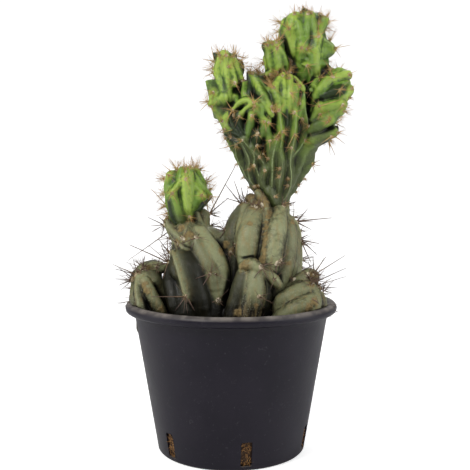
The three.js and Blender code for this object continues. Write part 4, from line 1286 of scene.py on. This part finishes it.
def needles_tree():
    """Needles from each point: their own way out, spread, length, bend and tone."""
    lengths = numbers(Spread=0.6, Shortest=0.004, Longest=0.01, Root_radius=0.0004, Point_share=0.1, Bend=2.0)
    inputs = {
        "Points": ("Geometry", None),
        "Count": ("Int", 6),
        **lengths,
        "Sides": ("Int", 5),
        "Seed": ("Int", 1),
        "Material": ("Material", None),
    }
    tree, given, out = new_group("Needles", "GeometryNodeTree", inputs, {"Needles": "Geometry"})
    repeats = {"Geometry": given["Points"], "Amount": given["Count"]}
    points = node(tree, "GeometryNodeDuplicateElements", repeats, domain="POINT").outputs[0]
    cone_inputs = {
        "Vertices": given["Sides"],
        "Side Segments": 4,
        "Radius Top": given["Point share"],
        "Radius Bottom": 1.0,
        "Depth": 1.0,
    }
    cone = node(tree, "GeometryNodeMeshCone", cone_inputs).outputs["Mesh"]
    place = node(tree, "GeometryNodeInputPosition").outputs[0]
    height = node(tree, "ShaderNodeSeparateXYZ", {0: place}).outputs[2]
    offset = combined(tree, times(tree, height, height, given["Bend"]))
    bent = node(tree, "GeometryNodeSetPosition", {"Geometry": cone, "Offset": offset}).outputs[0]
    needle = stored(tree, bent, "height", height)
    length = drawn_size(tree, given, "Shortest", "Longest")
    size = combined(tree, given["Root radius"], given["Root radius"], length)
    real = copies(tree, given, points, needle, given["Spread"], size)
    smooth = node(tree, "GeometryNodeSetShadeSmooth", {0: real}).outputs[0]
    dressed(tree, given, smooth, out["Needles"])


def lumps_tree():
    """A rough lump at each point: woolly pads or bits of bark."""
    inputs = {
        "Points": ("Geometry", None),
        **numbers(Smallest=0.001, Largest=0.002, Flatness=0.6, Roughness=0.3, Tumble=0.3),
        "Seed": ("Int", 1),
        "Material": ("Material", None),
    }
    tree, given, out = new_group("Lumps", "GeometryNodeTree", inputs, {"Lumps": "Geometry"})
    ball = node(tree, "GeometryNodeMeshIcoSphere", {"Radius": 1.0, "Subdivisions": 1}).outputs[0]
    size = drawn_size(tree, given, "Smallest", "Largest")
    long_side = times(tree, size, drawn(tree, given, 4, 0.8, 1.5))
    sizes = combined(tree, long_side, size, times(tree, size, given["Flatness"]))
    real = copies(tree, given, given["Points"], ball, given["Tumble"], sizes)
    noise = node(tree, "ShaderNodeTexNoise", {"Scale": 900.0, "Detail": 1.0}).outputs["Color"]
    push = vector(tree, "SUBTRACT", noise, (0.5, 0.5, 0.5))
    push = scaled(tree, push, times(tree, given["Roughness"], given["Largest"]))
    rough = node(tree, "GeometryNodeSetPosition", {"Geometry": real, "Offset": push}).outputs[0]
    dressed(tree, given, rough, out["Lumps"])


def grown_on(name, points, ways, reach, tree_name, material, values):
    """A piece that a node tree makes on some points, as a plain mesh."""
    piece = mesh_object(name, points, np.zeros((0, 4)), {"out": ways, "reach": reach})
    tree = bpy.data.node_groups[tree_name]
    modifier = piece.modifiers.new(tree_name, "NODES")
    modifier.node_group = tree
    identifiers = {item.name: item.identifier for item in tree.interface.items_tree if item.in_out == "INPUT"}
    for key, value in values.items():
        modifier[identifiers[key]] = value
    modifier[identifiers["Material"]] = bpy.data.materials[material]
    return as_plain_mesh(piece)


# ---- Pot ----

# Radii, heights and thicknesses in millimetres.
POT = {
    "rim": 84.98,
    "wall_top": 77.7,
    "base": 59.6,
    "base_round": 3.0,
    "wall": 1.6,
    "floor": 2.0,
    "height": 120.0,
}

# The rim's roll: its radius, and how far under the top it leaves the wall, outside and inside.
RIM_ROLL = 4.2
RIM_DROP = 9.0
INNER_DROP = 4.5

# The drain slots in the foot of the wall. The first one's turn from the front is in degrees.
SLOTS = {"count": 6, "width": 8.4, "height": 19.5, "depth": 16.0, "corner": 1.2, "bottom": 3.6}
FIRST_SLOT = 11.0

# A radius as good as none, for the points of a profile on the axis.
AXIS = 0.001


def wall_radius(z):
    top = POT["height"] - RIM_DROP
    return mix(POT["base"], POT["wall_top"], (z - POT["base_round"]) / (top - POT["base_round"]))


def slot_turn(index):
    return math.radians(FIRST_SLOT + index * 360 / SLOTS["count"])


def arc(centre, radius, start, end, steps):
    turns = np.radians(np.linspace(start, end, steps))
    return [(centre[0] + math.cos(t) * radius, centre[1] + math.sin(t) * radius) for t in turns]


def pot_profile():
    """Once round the wall: underside, outside, rolled rim, inside, floor."""
    curl = POT["height"] - RIM_DROP
    round_centre = (POT["base"] - POT["base_round"], POT["base_round"])
    rim_centre = (POT["rim"] - RIM_ROLL, POT["height"] - RIM_ROLL)
    inside = np.linspace(POT["height"] - INNER_DROP, POT["base_round"] + POT["floor"], 14)
    profile = [(radius, 0.0) for radius in (AXIS, 20.0, 40.0)]
    profile += arc(round_centre, POT["base_round"], -90, 0, 6)
    profile += [(wall_radius(z), z) for z in np.linspace(8, curl - 0.6, 22)]
    profile += [(wall_radius(curl) + 0.25, curl + 0.1)]
    profile += [(POT["rim"] - RIM_ROLL * 0.55, curl + 1.2), (POT["rim"] - 0.9, curl + 2.2)]
    profile += arc(rim_centre, RIM_ROLL, -32, 150, 18)
    profile += [(wall_radius(z) - POT["wall"], z) for z in inside]
    profile += [(radius, POT["floor"]) for radius in (POT["base"] - POT["wall"] - 3, 30.0, AXIS)]
    return profile


def slot_cutter(index):
    """A block with rounded upright edges, for one drain slot."""
    work = bmesh.new()
    bmesh.ops.create_cube(work, size=1)
    scale = Vector((SLOTS["width"] * MM, SLOTS["depth"] * MM, SLOTS["height"] * MM))
    bmesh.ops.scale(work, vec=scale, verts=work.verts)
    deep = [e for e in work.edges if abs(e.verts[0].co.y - e.verts[1].co.y) > MM]
    bmesh.ops.bevel(work, geom=deep, offset=SLOTS["corner"] * MM, segments=3, affect="EDGES", profile=0.5)
    middle = (SLOTS["bottom"] + SLOTS["height"] / 2) * MM
    bmesh.ops.translate(work, vec=Vector((0, -POT["base"] * MM, middle)), verts=work.verts)
    cosine, sine = math.cos(slot_turn(index)), math.sin(slot_turn(index))
    for v in work.verts:
        x, y = v.co.x, v.co.y
        v.co.x, v.co.y = x * cosine - y * sine, x * sine + y * cosine
    mesh = bpy.data.meshes.new("slot_cutter")
    work.to_mesh(mesh)
    work.free()
    cutter = bpy.data.objects.new("slot_cutter", mesh)
    bpy.context.collection.objects.link(cutter)
    return cutter


def cut(piece, cutters):
    """Takes the cutters out of the piece, then removes them."""
    for cutter in cutters:
        modifier = piece.modifiers.new("Cut", "BOOLEAN")
        modifier.operation = "DIFFERENCE"
        modifier.solver = "EXACT"
        modifier.object = cutter
    as_plain_mesh(piece)
    for cutter in cutters:
        bpy.data.objects.remove(cutter)


def sharpen(piece, degrees=38):
    """Smooth faces, with sharp edges where the surface turns a corner."""
    work = bmesh.new()
    work.from_mesh(piece.data)
    for face in work.faces:
        face.smooth = True
    for edge in work.edges:
        edge.smooth = len(edge.link_faces) == 2 and edge.calc_face_angle(0) < math.radians(degrees)
    work.to_mesh(piece.data)
    work.free()


def add_pot(settings):
    points, faces = lathe(pot_profile(), settings.pot_segments)
    piece = welded(mesh_object("nursery_pot", points, faces))
    cut(piece, [slot_cutter(i) for i in range(SLOTS["count"])])
    sharpen(piece)
    look_of(piece, "Pot plastic")
    return finish_piece(piece, "pot")


# ---- Potting mix ----

# Humps and crumbs on top of the mix, and patches of its tone: size, height and seed.
HUMPS = (9, 1.6, 5)
CRUMBS = (3, 0.9, 6)
MIX_PATCHES = (5, 0.3, 7)

# The mix's underside, its gap to the wall in millimetres, and its facets round.
MIX_BOTTOM = 2.5
MIX_GAP = 0.4
MIX_SEGMENTS = 160
SLOT_FIBRES = 90


def smooth_noise(x, y, size, height, seed):
    """Even noise on a plane, with features of a given size and height."""
    grid = np.random.default_rng(seed).uniform(-1, 1, (64, 64))
    u, v = x / size + 32, y / size + 32
    i, j = np.floor(u).astype(int) % 63, np.floor(v).astype(int) % 63
    s, t = u - np.floor(u), v - np.floor(v)
    s, t = s * s * (3 - 2 * s), t * t * (3 - 2 * t)
    low = mix(grid[i, j], grid[i + 1, j], s)
    high = mix(grid[i, j + 1], grid[i + 1, j + 1], s)
    return height * mix(low, high, t)


def mix_radius(z):
    """The mix's radius, a little inside the wall."""
    return wall_radius(z) - POT["wall"] - MIX_GAP


def add_potting_mix(settings):
    """The mix: a body that fills the pot, bark and coir on top, and coir in the drain slots."""
    level = SOIL_TOP - 1
    rows = [(radius, MIX_BOTTOM) for radius in (AXIS, 30.0, POT["base"] - 6)]
    rows += [(mix_radius(z), z) for z in np.linspace(6, SOIL_TOP - 2, 24)]
    rows += [(mix_radius(SOIL_TOP) * share, level) for share in np.linspace(0.99, 0.0, 50)]
    rows[-1] = (AXIS, level)
    points, faces = lathe(rows, MIX_SEGMENTS)
    x, y, z = points.T
    bumps = smooth_noise(x, y, *HUMPS) + smooth_noise(x, y, *CRUMBS)
    tone = np.clip(0.35 + smooth_noise(x, y, *MIX_PATCHES), 0, 1)
    points[:, 2] += np.where(z >= level - 0.5, bumps - 0.6, 0)
    body = welded(mesh_object("potting_mix", points, faces, {"tone": tone}))
    look_of(body, "Potting mix")
    finish_piece(body, "soil")
    add_bark(settings.chip_count)
    add_fibres(settings.fibre_count)


def scattered(draw, count, spread):
    """Places spread evenly over a disc."""
    radius = spread * np.sqrt(draw.random(count))
    turn = draw.uniform(0, 2 * np.pi, count)
    return radius * np.cos(turn), radius * np.sin(turn)


def add_bark(count):
    """Bits of bark all over the top of the mix."""
    draw = np.random.default_rng(31)
    x, y = scattered(draw, count, mix_radius(SOIL_TOP) - 2)
    height = SOIL_TOP - 1.2 + smooth_noise(x, y, *HUMPS)
    up = np.column_stack([draw.normal(0, 0.5, (count, 2)), np.ones(count)])
    points = np.column_stack([x, y, height])
    shape = named(Smallest=0.8 * MM, Largest=3.2 * MM, Flatness=0.45, Roughness=0.6, Tumble=0.6, Seed=3)
    chips = grown_on("bark_chips", points, unit(up), np.ones(count), "Lumps", "Bark chips", shape)
    finish_piece(chips)


def add_fibres(count):
    """Coir: loose fibres on top, and a tangle pressed against each drain slot."""
    draw = np.random.default_rng(32)
    x, y = scattered(draw, count, mix_radius(SOIL_TOP) - 14)
    points = np.column_stack([x, y, np.full(count, SOIL_TOP - 0.6)])
    way = draw.uniform(0, 2 * np.pi, count)
    ways = np.column_stack([np.cos(way), np.sin(way), draw.uniform(-0.05, 0.22, count)])
    in_slots, slot_ways = [], []
    for index in range(SLOTS["count"]):
        azimuth = slot_turn(index) - math.pi / 2
        out = np.array([math.cos(azimuth), math.sin(azimuth), 0])
        across = np.array([-out[1], out[0], 0])
        up = np.array([0, 0, 1])
        for _ in range(SLOT_FIBRES):
            z = SLOTS["bottom"] + draw.uniform(0.5, SLOTS["height"] - 0.5)
            side = draw.uniform(-0.45, 0.45) * SLOTS["width"]
            depth = mix_radius(z) + draw.uniform(-0.8, 0.7)
            in_slots.append(out * depth + across * side + up * z)
            slot_ways.append(across * draw.normal(0, 0.5) + up * draw.normal(0, 1) + out * 0.06)
    points = np.vstack([points, in_slots])
    ways = unit(np.vstack([ways, slot_ways]))
    reach = np.concatenate([np.ones(count), np.full(len(in_slots), 0.32)])
    thread = named(Root_radius=0.28 * MM, Point_share=0.5, Bend=5.0, Sides=4)
    shape = {**thread, **named(Count=1, Spread=0.1, Shortest=5 * MM, Longest=14 * MM, Seed=5)}
    fibres = grown_on("coir_fibres", points, ways, reach, "Needles", "Coir fibres", shape)
    finish_piece(fibres)


# ---- Growths ----

# filling: the kind of rib of the far side. core: the plain body inside the ribs, as a share of the skin.
# sunk, tip_lift, blend: how deep filling ribs lie in front, how far a tip stands out and how far ribs pass
# into each other, in millimetres. swell: the swelling at an areole. pad: the widest woolly pad.
# spines: how many at an areole, the longest, and the thickness of short and of long ones, in millimetres.
# lowest_reach: how long the lowest spines are, as a share of the highest.
FRESH = {
    "skin": "Fresh skin",
    "slot": "fresh_skin",
    "horn": "Fresh spines",
    "filling": "lobe",
    "core": 0.6,
    "sunk": 5.5,
    "tip_lift": 2.2,
    "blend": 0.9,
    "swell": 0.06,
    "pad": 1.6,
    "spines": (16, 14.0, 0.16, 0.4),
    "lowest_reach": 0.4,
}
OLD = {
    "skin": "Old skin",
    "slot": "old_skin",
    "horn": "Old spines",
    "filling": "stem",
    "core": 0.55,
    "sunk": 7.0,
    "tip_lift": 0.5,
    "blend": 2.2,
    "swell": 0.015,
    "pad": 2.4,
    "spines": (9, 15.0, 0.27, 0.56),
    "lowest_reach": 1,
}

# low and high: where the darker colour of the foot ends, which on old stems is painted shade with soil stain.
# step: the distance field's step.
GROWTHS = {
    "tall_head": {
        **FRESH,
        "shoots": (FAN, LEFT_BRANCH, COLUMN, STUB, RIGHT_BRANCH),
        "low": 222,
        "high": 292,
        "seed": 21,
        "step": 0.9,
    },
    "small_head": {
        **FRESH,
        "shoots": (SMALL_BALL,),
        "core": 0.62,
        "low": 176,
        "high": 206,
        "seed": 22,
        "step": 0.7,
    },
    "old_trunk": {**OLD, "shoots": (LEFT_STEM, MAIN_STEM), "low": 117, "high": 136, "seed": 23, "step": 1.05},
    "left_offset": {**OLD, "shoots": (LEFT_LOW,), "low": 108, "high": 128, "seed": 24, "step": 0.8},
    "right_offset": {**OLD, "shoots": (RIGHT_LOW,), "low": 92, "high": 116, "seed": 25, "step": 0.8},
}

# How far the flesh keeps from the rim, goes down into the mix, and the spines keep from the frame's box.
RIM_GAP = 0.35
BURIED = 8
BOX_GAP = 0.4


def grown_share(growth, height):
    """0 at the darker foot of a growth, 1 in its clean part, and past these below and above. On old stems the
    foot's colour is painted shade with soil stain.
    """
    return (height - growth["low"]) / (growth["high"] - growth["low"])


def areole_places(field, shoots, ribs, seed):
    """Where the areoles are: the seen ones, and a row along each rib of the far side."""
    places = [field.first_hit(x, z) for shoot in shoots for x, z in shoot["areoles"]]
    draw = np.random.default_rng(seed)
    last = 23
    for rib in ribs:
        if not rib.get("behind"):
            continue
        crest = smooth_line(rib["crest"], last + 1)
        count = max(1, round(length_of(crest) / AREOLE_GAP))
        for i in range(count):
            share = 1 - (i + draw.uniform(-0.2, 0.2)) / count
            point = crest[int(np.clip(share * last, 0, last))][None]
            point = field.settle(point, 4)[0]
            out = unit(field.slope(point[None]))[0]
            outside = field.sample(field.distance, (point + out * 3)[None])[0]
            if outside > 1.8 and point[2] > SOIL_TOP + 4:
                places.append(point)
    return np.array(places)


def room(points):
    """How far each point is from the nearest side of the frame's box, in millimetres."""
    low, high = np.array(cad_box) / MM
    return np.minimum(points - low, high - points).min(axis=1) - BOX_GAP


def longest_spines(field, shoots):
    """The long spines that the front shows: roots on the surface, and the ways to their points."""
    sunk = 0.8
    roots, ways, lengths = [], [], []
    for shoot in shoots:
        for x, z, tip_x, tip_z in shoot["spines"]:
            root = field.first_hit(x, z)
            towards_eye = 0.25 * math.hypot(tip_x - x, tip_z - z)
            way = seen_at(tip_x, tip_z, root[1] - towards_eye) - root
            length = np.linalg.norm(way)
            way = unit(way)
            while room((root + way * length)[None])[0] < 0:
                length -= 0.2
            roots.append(root - way * sunk)
            ways.append(way)
            lengths.append(length + sunk)
    return np.array(roots), np.array(ways), np.array(lengths)


def valley_shade_at(field, points):
    """How shut in each point of the surface is, from 0 to 1, as the mask of the painted shade in the valleys.
    """
    normals = unit(field.slope(points))
    hollow = np.zeros(len(points))
    for reach in (2.5, 5.0, 8.0):
        free = field.sample(field.distance, points + normals * reach) / reach
        hollow += (1 - np.clip(free, 0, 1)) / 3
    return hollow


def add_flesh(name, growth, field, areoles):
    """The flesh as a mesh, with the values that its skin is coloured by."""
    points, faces = surface(field)
    points = field.settle(points)
    wool = np.full(len(points), 99.0)
    for place in areoles:
        wool = np.minimum(wool, np.linalg.norm(points - place, axis=1))
    cork = np.zeros(len(points))
    for shoot in growth["shoots"]:
        for x, z, size in shoot.get("cork", []):
            place = field.first_hit(x, z)
            cork = np.maximum(cork, 1 - np.linalg.norm(points - place, axis=1) / (2 * size))
    values = {
        "crest": np.clip(field.sample(field.crest, points), 0, 1),
        "tone": field.sample(field.tone, points),
        # How shut in each point is: the mask of the painted valley shade.
        "hollow": valley_shade_at(field, points),
        "wool": np.clip(1 - wool / 7, 0, 1),
        # Darker towards the foot: on old stems painted shade with soil stain.
        "age": grown_share(growth, points[:, 2]),
        "cork": np.clip(cork, 0, 1),
    }
    piece = mesh_object(name + "_flesh", points, faces, values)
    look_of(piece, growth["skin"])
    return finish_piece(piece, name)


def add_spines(name, growth, places, ways, long_ones):
    """Woolly pads, tufts and spines at the areoles, and the long spines."""
    count, longest, thick, long_thick = growth["spines"]
    grown = np.clip(grown_share(growth, places[:, 2]), 0, 1)
    reach = np.clip(room(places) / longest, 0.1, mix(growth["lowest_reach"], 1, grown))
    seed = growth["seed"]
    pads = named(Smallest=MM, Largest=growth["pad"] * MM, Flatness=0.5, Roughness=0.5, Tumble=0.1, Seed=seed)
    tuft = named(Root_radius=0.16 * MM, Point_share=0.4, Bend=1.0, Sides=3)
    tufts = {**tuft, **named(Count=16, Spread=1.1, Shortest=0.8 * MM, Longest=2.0 * MM, Seed=seed)}
    spine = named(Root_radius=thick * MM, Point_share=0.38, Bend=1.5, Sides=4)
    spread = named(Count=count, Spread=1.1, Shortest=3.5 * MM, Longest=longest * MM, Seed=seed + 10)
    short = {**spine, **spread}
    lone = named(Count=1, Spread=0.0, Shortest=MM, Longest=MM, Root_radius=long_thick * MM, Seed=seed + 20)
    long = {**spine, **lone}
    tuft_reach = np.minimum(reach * 4, 1)
    for part, where, tree, material, values in (
        ("_areoles", (places, ways, np.ones(len(places))), "Lumps", "Areole wool", pads),
        ("_wool", (places, ways, tuft_reach), "Needles", "Areole wool", tufts),
        ("_spines", (places, ways, reach), "Needles", growth["horn"], short),
        ("_long_spines", long_ones, "Needles", growth["horn"], long),
    ):
        finish_piece(grown_on(name + part, *where, tree, material, values))


def keep_clear_of_pot(field):
    """Cuts the flesh clear of the rim and the wall, and ends it a little way down in the mix."""
    points = field.window(field.low, field.low + field.step * (field.count - 1))[1]
    radius = np.hypot(points[..., 0], points[..., 1])
    height = points[..., 2]
    roll = POT["height"] - RIM_ROLL
    rim = np.hypot(radius - POT["rim"] + RIM_ROLL, height - roll) - RIM_ROLL - RIM_GAP
    wall = np.maximum(height - roll, POT["rim"] - 2 * RIM_ROLL - radius)
    kept = np.maximum(field.distance, -np.minimum(rim, wall))
    field.distance = np.maximum(kept, SOIL_TOP - BURIED - height).astype(np.float32)


def add_growth(name):
    growth = GROWTHS[name]
    field, ribs = grow(growth)
    keep_clear_of_pot(field)
    areoles = areole_places(field, growth["shoots"], ribs, growth["seed"])
    add_flesh(name, growth, field, areoles)
    ways = unit(field.slope(areoles))
    add_spines(name, growth, areoles, ways, longest_spines(field, growth["shoots"]))


# ---- Stage ----

# Place and the height aimed at, in metres, width and height, power, colour.
LIGHTS = {
    "key": ((-0.75, -0.8, 1.15), 0.2, (0.5, 0.5), 12.5, (1, 0.99, 0.96)),
    "fill": ((0.95, -0.65, 0.8), 0.2, (0.6, 0.9), 5, (0.98, 0.99, 1)),
    "left": ((-1.2, -0.15, 0.3), 0.16, (0.5, 0.9), 3.5, (1, 1, 1)),
    "right": ((1.2, -0.15, 0.3), 0.16, (0.5, 0.9), 3.5, (1, 1, 1)),
    "back": ((0.2, 0.9, 1.2), 0.25, (1.0, 0.6), 4, (1, 1, 1)),
}
WORLD_LIGHT = 0.21

# The floor in millimetres: half width, front edge, where the sweep starts, its radius and top, and how far
# the whole lies under the pot's foot.
FLOOR = {"half_width": 4000, "front": -4000, "sweep": 1000, "radius": 600, "top": 3500, "drop": 0.05}


def area_light(name, place, aim, size, power, colour):
    light = bpy.data.lights.new(name, "AREA")
    light.shape = "RECTANGLE"
    light.size, light.size_y = size
    light.energy = power
    light.color = colour
    made = bpy.data.objects.new(name, light)
    made.location = place
    made.rotation_euler = (Vector((0, 0, aim)) - Vector(place)).to_track_quat("-Z", "Y").to_euler()
    bpy.context.collection.objects.link(made)


def floor_material():
    tree, shader = new_material("Pale floor")
    shade = blended(tree, mottle(tree, 300.0, 2.0), (0.86, 0.86, 0.87, 1), (0.9, 0.9, 0.9, 1))
    tree.links.new(shade, shader["Base Color"])
    shader["Roughness"].default_value = 0.9
    shader["Specular IOR Level"].default_value = 0.1
    shader["Emission Color"].default_value = (1, 1, 1, 1)
    seen = node(tree, "ShaderNodeLightPath").outputs["Is Camera Ray"]
    tree.links.new(times(tree, seen, 0.6), shader["Emission Strength"])


def add_floor():
    """A pale floor that sweeps up behind the plant at a distance."""
    sweep, radius = FLOOR["sweep"], FLOOR["radius"]
    profile = [(y, 0.0) for y in (FLOOR["front"], -sweep, sweep)]
    for turn in np.linspace(0.15, math.pi / 2, 10):
        profile.append((sweep + radius * math.sin(turn), radius - radius * math.cos(turn)))
    profile.append((sweep + radius, FLOOR["top"]))
    half = FLOOR["half_width"]
    points = np.array([(x, y, z - FLOOR["drop"]) for y, z in profile for x in (-half, half)], float)
    faces = np.array([(2 * i, 2 * i + 1, 2 * i + 3, 2 * i + 2) for i in range(len(profile) - 1)])
    floor = mesh_object("floor", points, faces)
    floor_material()
    look_of(floor, "Pale floor")


def add_world():
    """White behind everything, and a dimmer white light all round."""
    world = bpy.data.worlds.new("Studio")
    world.use_nodes = True
    tree = world.node_tree
    background = tree.nodes["Background"].inputs
    background["Color"].default_value = (1, 1, 1, 1)
    seen = node(tree, "ShaderNodeLightPath").outputs["Is Camera Ray"]
    tree.links.new(ramp(tree, seen, 0.0, 1.0, WORLD_LIGHT, 1.0), background["Strength"])
    bpy.context.scene.world = world


def add_camera():
    lens = bpy.data.cameras.new("camera")
    lens.lens = EYE_LENS
    lens.sensor_width = 36
    camera = bpy.data.objects.new("camera", lens)
    camera.location = EYE * MM
    camera.rotation_euler = (math.pi / 2 - EYE_PITCH, 0, 0)
    bpy.context.collection.objects.link(camera)
    bpy.context.scene.camera = camera


# ---- Settings, operators and panel ----


class CactusSettings(PropertyGroup):
    fresh_colour: FloatVectorProperty(
        name="Fresh skin",
        description="Colour of the new growth",
        subtype="COLOR",
        default=linear(101, 141, 38),
    )
    old_colour: FloatVectorProperty(
        name="Old skin",
        description="Colour of the old stems",
        subtype="COLOR",
        default=linear(121, 123, 88),
    )
    pot_colour: FloatVectorProperty(
        name="Pot",
        description="Colour of the plastic",
        subtype="COLOR",
        default=linear(18, 14, 28),
    )
    pot_segments: IntProperty(name="Pot segments", description="Facets round the pot", default=192, min=48)
    chip_count: IntProperty(name="Bark chips", description="Bits of bark on the mix", default=1500, min=0)
    fibre_count: IntProperty(name="Coir fibres", description="Loose fibres on the mix", default=500, min=0)


class CACTUS_OT_stage(Operator):
    """Adds the floor, the light and the camera"""

    bl_idname = "cactus.stage"
    bl_label = "Stage"

    def execute(self, context):
        add_world()
        add_floor()
        add_camera()
        for name, light in LIGHTS.items():
            area_light(name, *light)
        context.scene.view_settings.view_transform = "Standard"
        return {"FINISHED"}


class CACTUS_OT_finishes(Operator):
    """Makes the node groups, the finishes and the trees that place what repeats"""

    bl_idname = "cactus.finishes"
    bl_label = "Finishes"

    def execute(self, context):
        make_finishes(context.scene.cactus)
        needles_tree()
        lumps_tree()
        return {"FINISHED"}


class CACTUS_OT_pot(Operator):
    """Adds the nursery pot with its rolled rim and drain slots"""

    bl_idname = "cactus.pot"
    bl_label = "Pot"

    def execute(self, context):
        add_pot(context.scene.cactus)
        return {"FINISHED"}


class CACTUS_OT_potting_mix(Operator):
    """Adds the potting mix with its bark and coir"""

    bl_idname = "cactus.potting_mix"
    bl_label = "Potting mix"

    def execute(self, context):
        add_potting_mix(context.scene.cactus)
        return {"FINISHED"}


class CACTUS_OT_old_stems(Operator):
    """Adds the old trunk and the two low offsets"""

    bl_idname = "cactus.old_stems"
    bl_label = "Old stems"

    def execute(self, context):
        for name in ("old_trunk", "left_offset", "right_offset"):
            add_growth(name)
        return {"FINISHED"}


class CACTUS_OT_fresh_heads(Operator):
    """Adds the tall head and the small head"""

    bl_idname = "cactus.fresh_heads"
    bl_label = "Fresh heads"

    def execute(self, context):
        for name in ("tall_head", "small_head"):
            add_growth(name)
        return {"FINISHED"}


OPERATORS = (
    CACTUS_OT_finishes,
    CACTUS_OT_stage,
    CACTUS_OT_pot,
    CACTUS_OT_potting_mix,
    CACTUS_OT_old_stems,
    CACTUS_OT_fresh_heads,
)


class CACTUS_PT_panel(Panel):
    """The plant's colours and pieces"""

    bl_label = "Potted tall cactus"
    bl_space_type = "VIEW_3D"
    bl_region_type = "UI"
    bl_category = "Cactus"

    def draw(self, context):
        for key in CactusSettings.__annotations__:
            self.layout.prop(context.scene.cactus, key)
        for kind in OPERATORS:
            self.layout.operator(kind.bl_idname)


CLASSES = (CactusSettings, *OPERATORS, CACTUS_PT_panel)


def register():
    for kind in CLASSES:
        bpy.utils.register_class(kind)
    bpy.types.Scene.cactus = PointerProperty(type=CactusSettings)


def unregister():
    del bpy.types.Scene.cactus
    for kind in reversed(CLASSES):
        bpy.utils.unregister_class(kind)


def main():
    register()
    bpy.ops.cactus.finishes()
    bpy.ops.cactus.stage()
    bpy.ops.cactus.pot()
    bpy.ops.cactus.potting_mix()
    bpy.ops.cactus.old_stems()
    bpy.ops.cactus.fresh_heads()


if __name__ == "__main__":
    main()
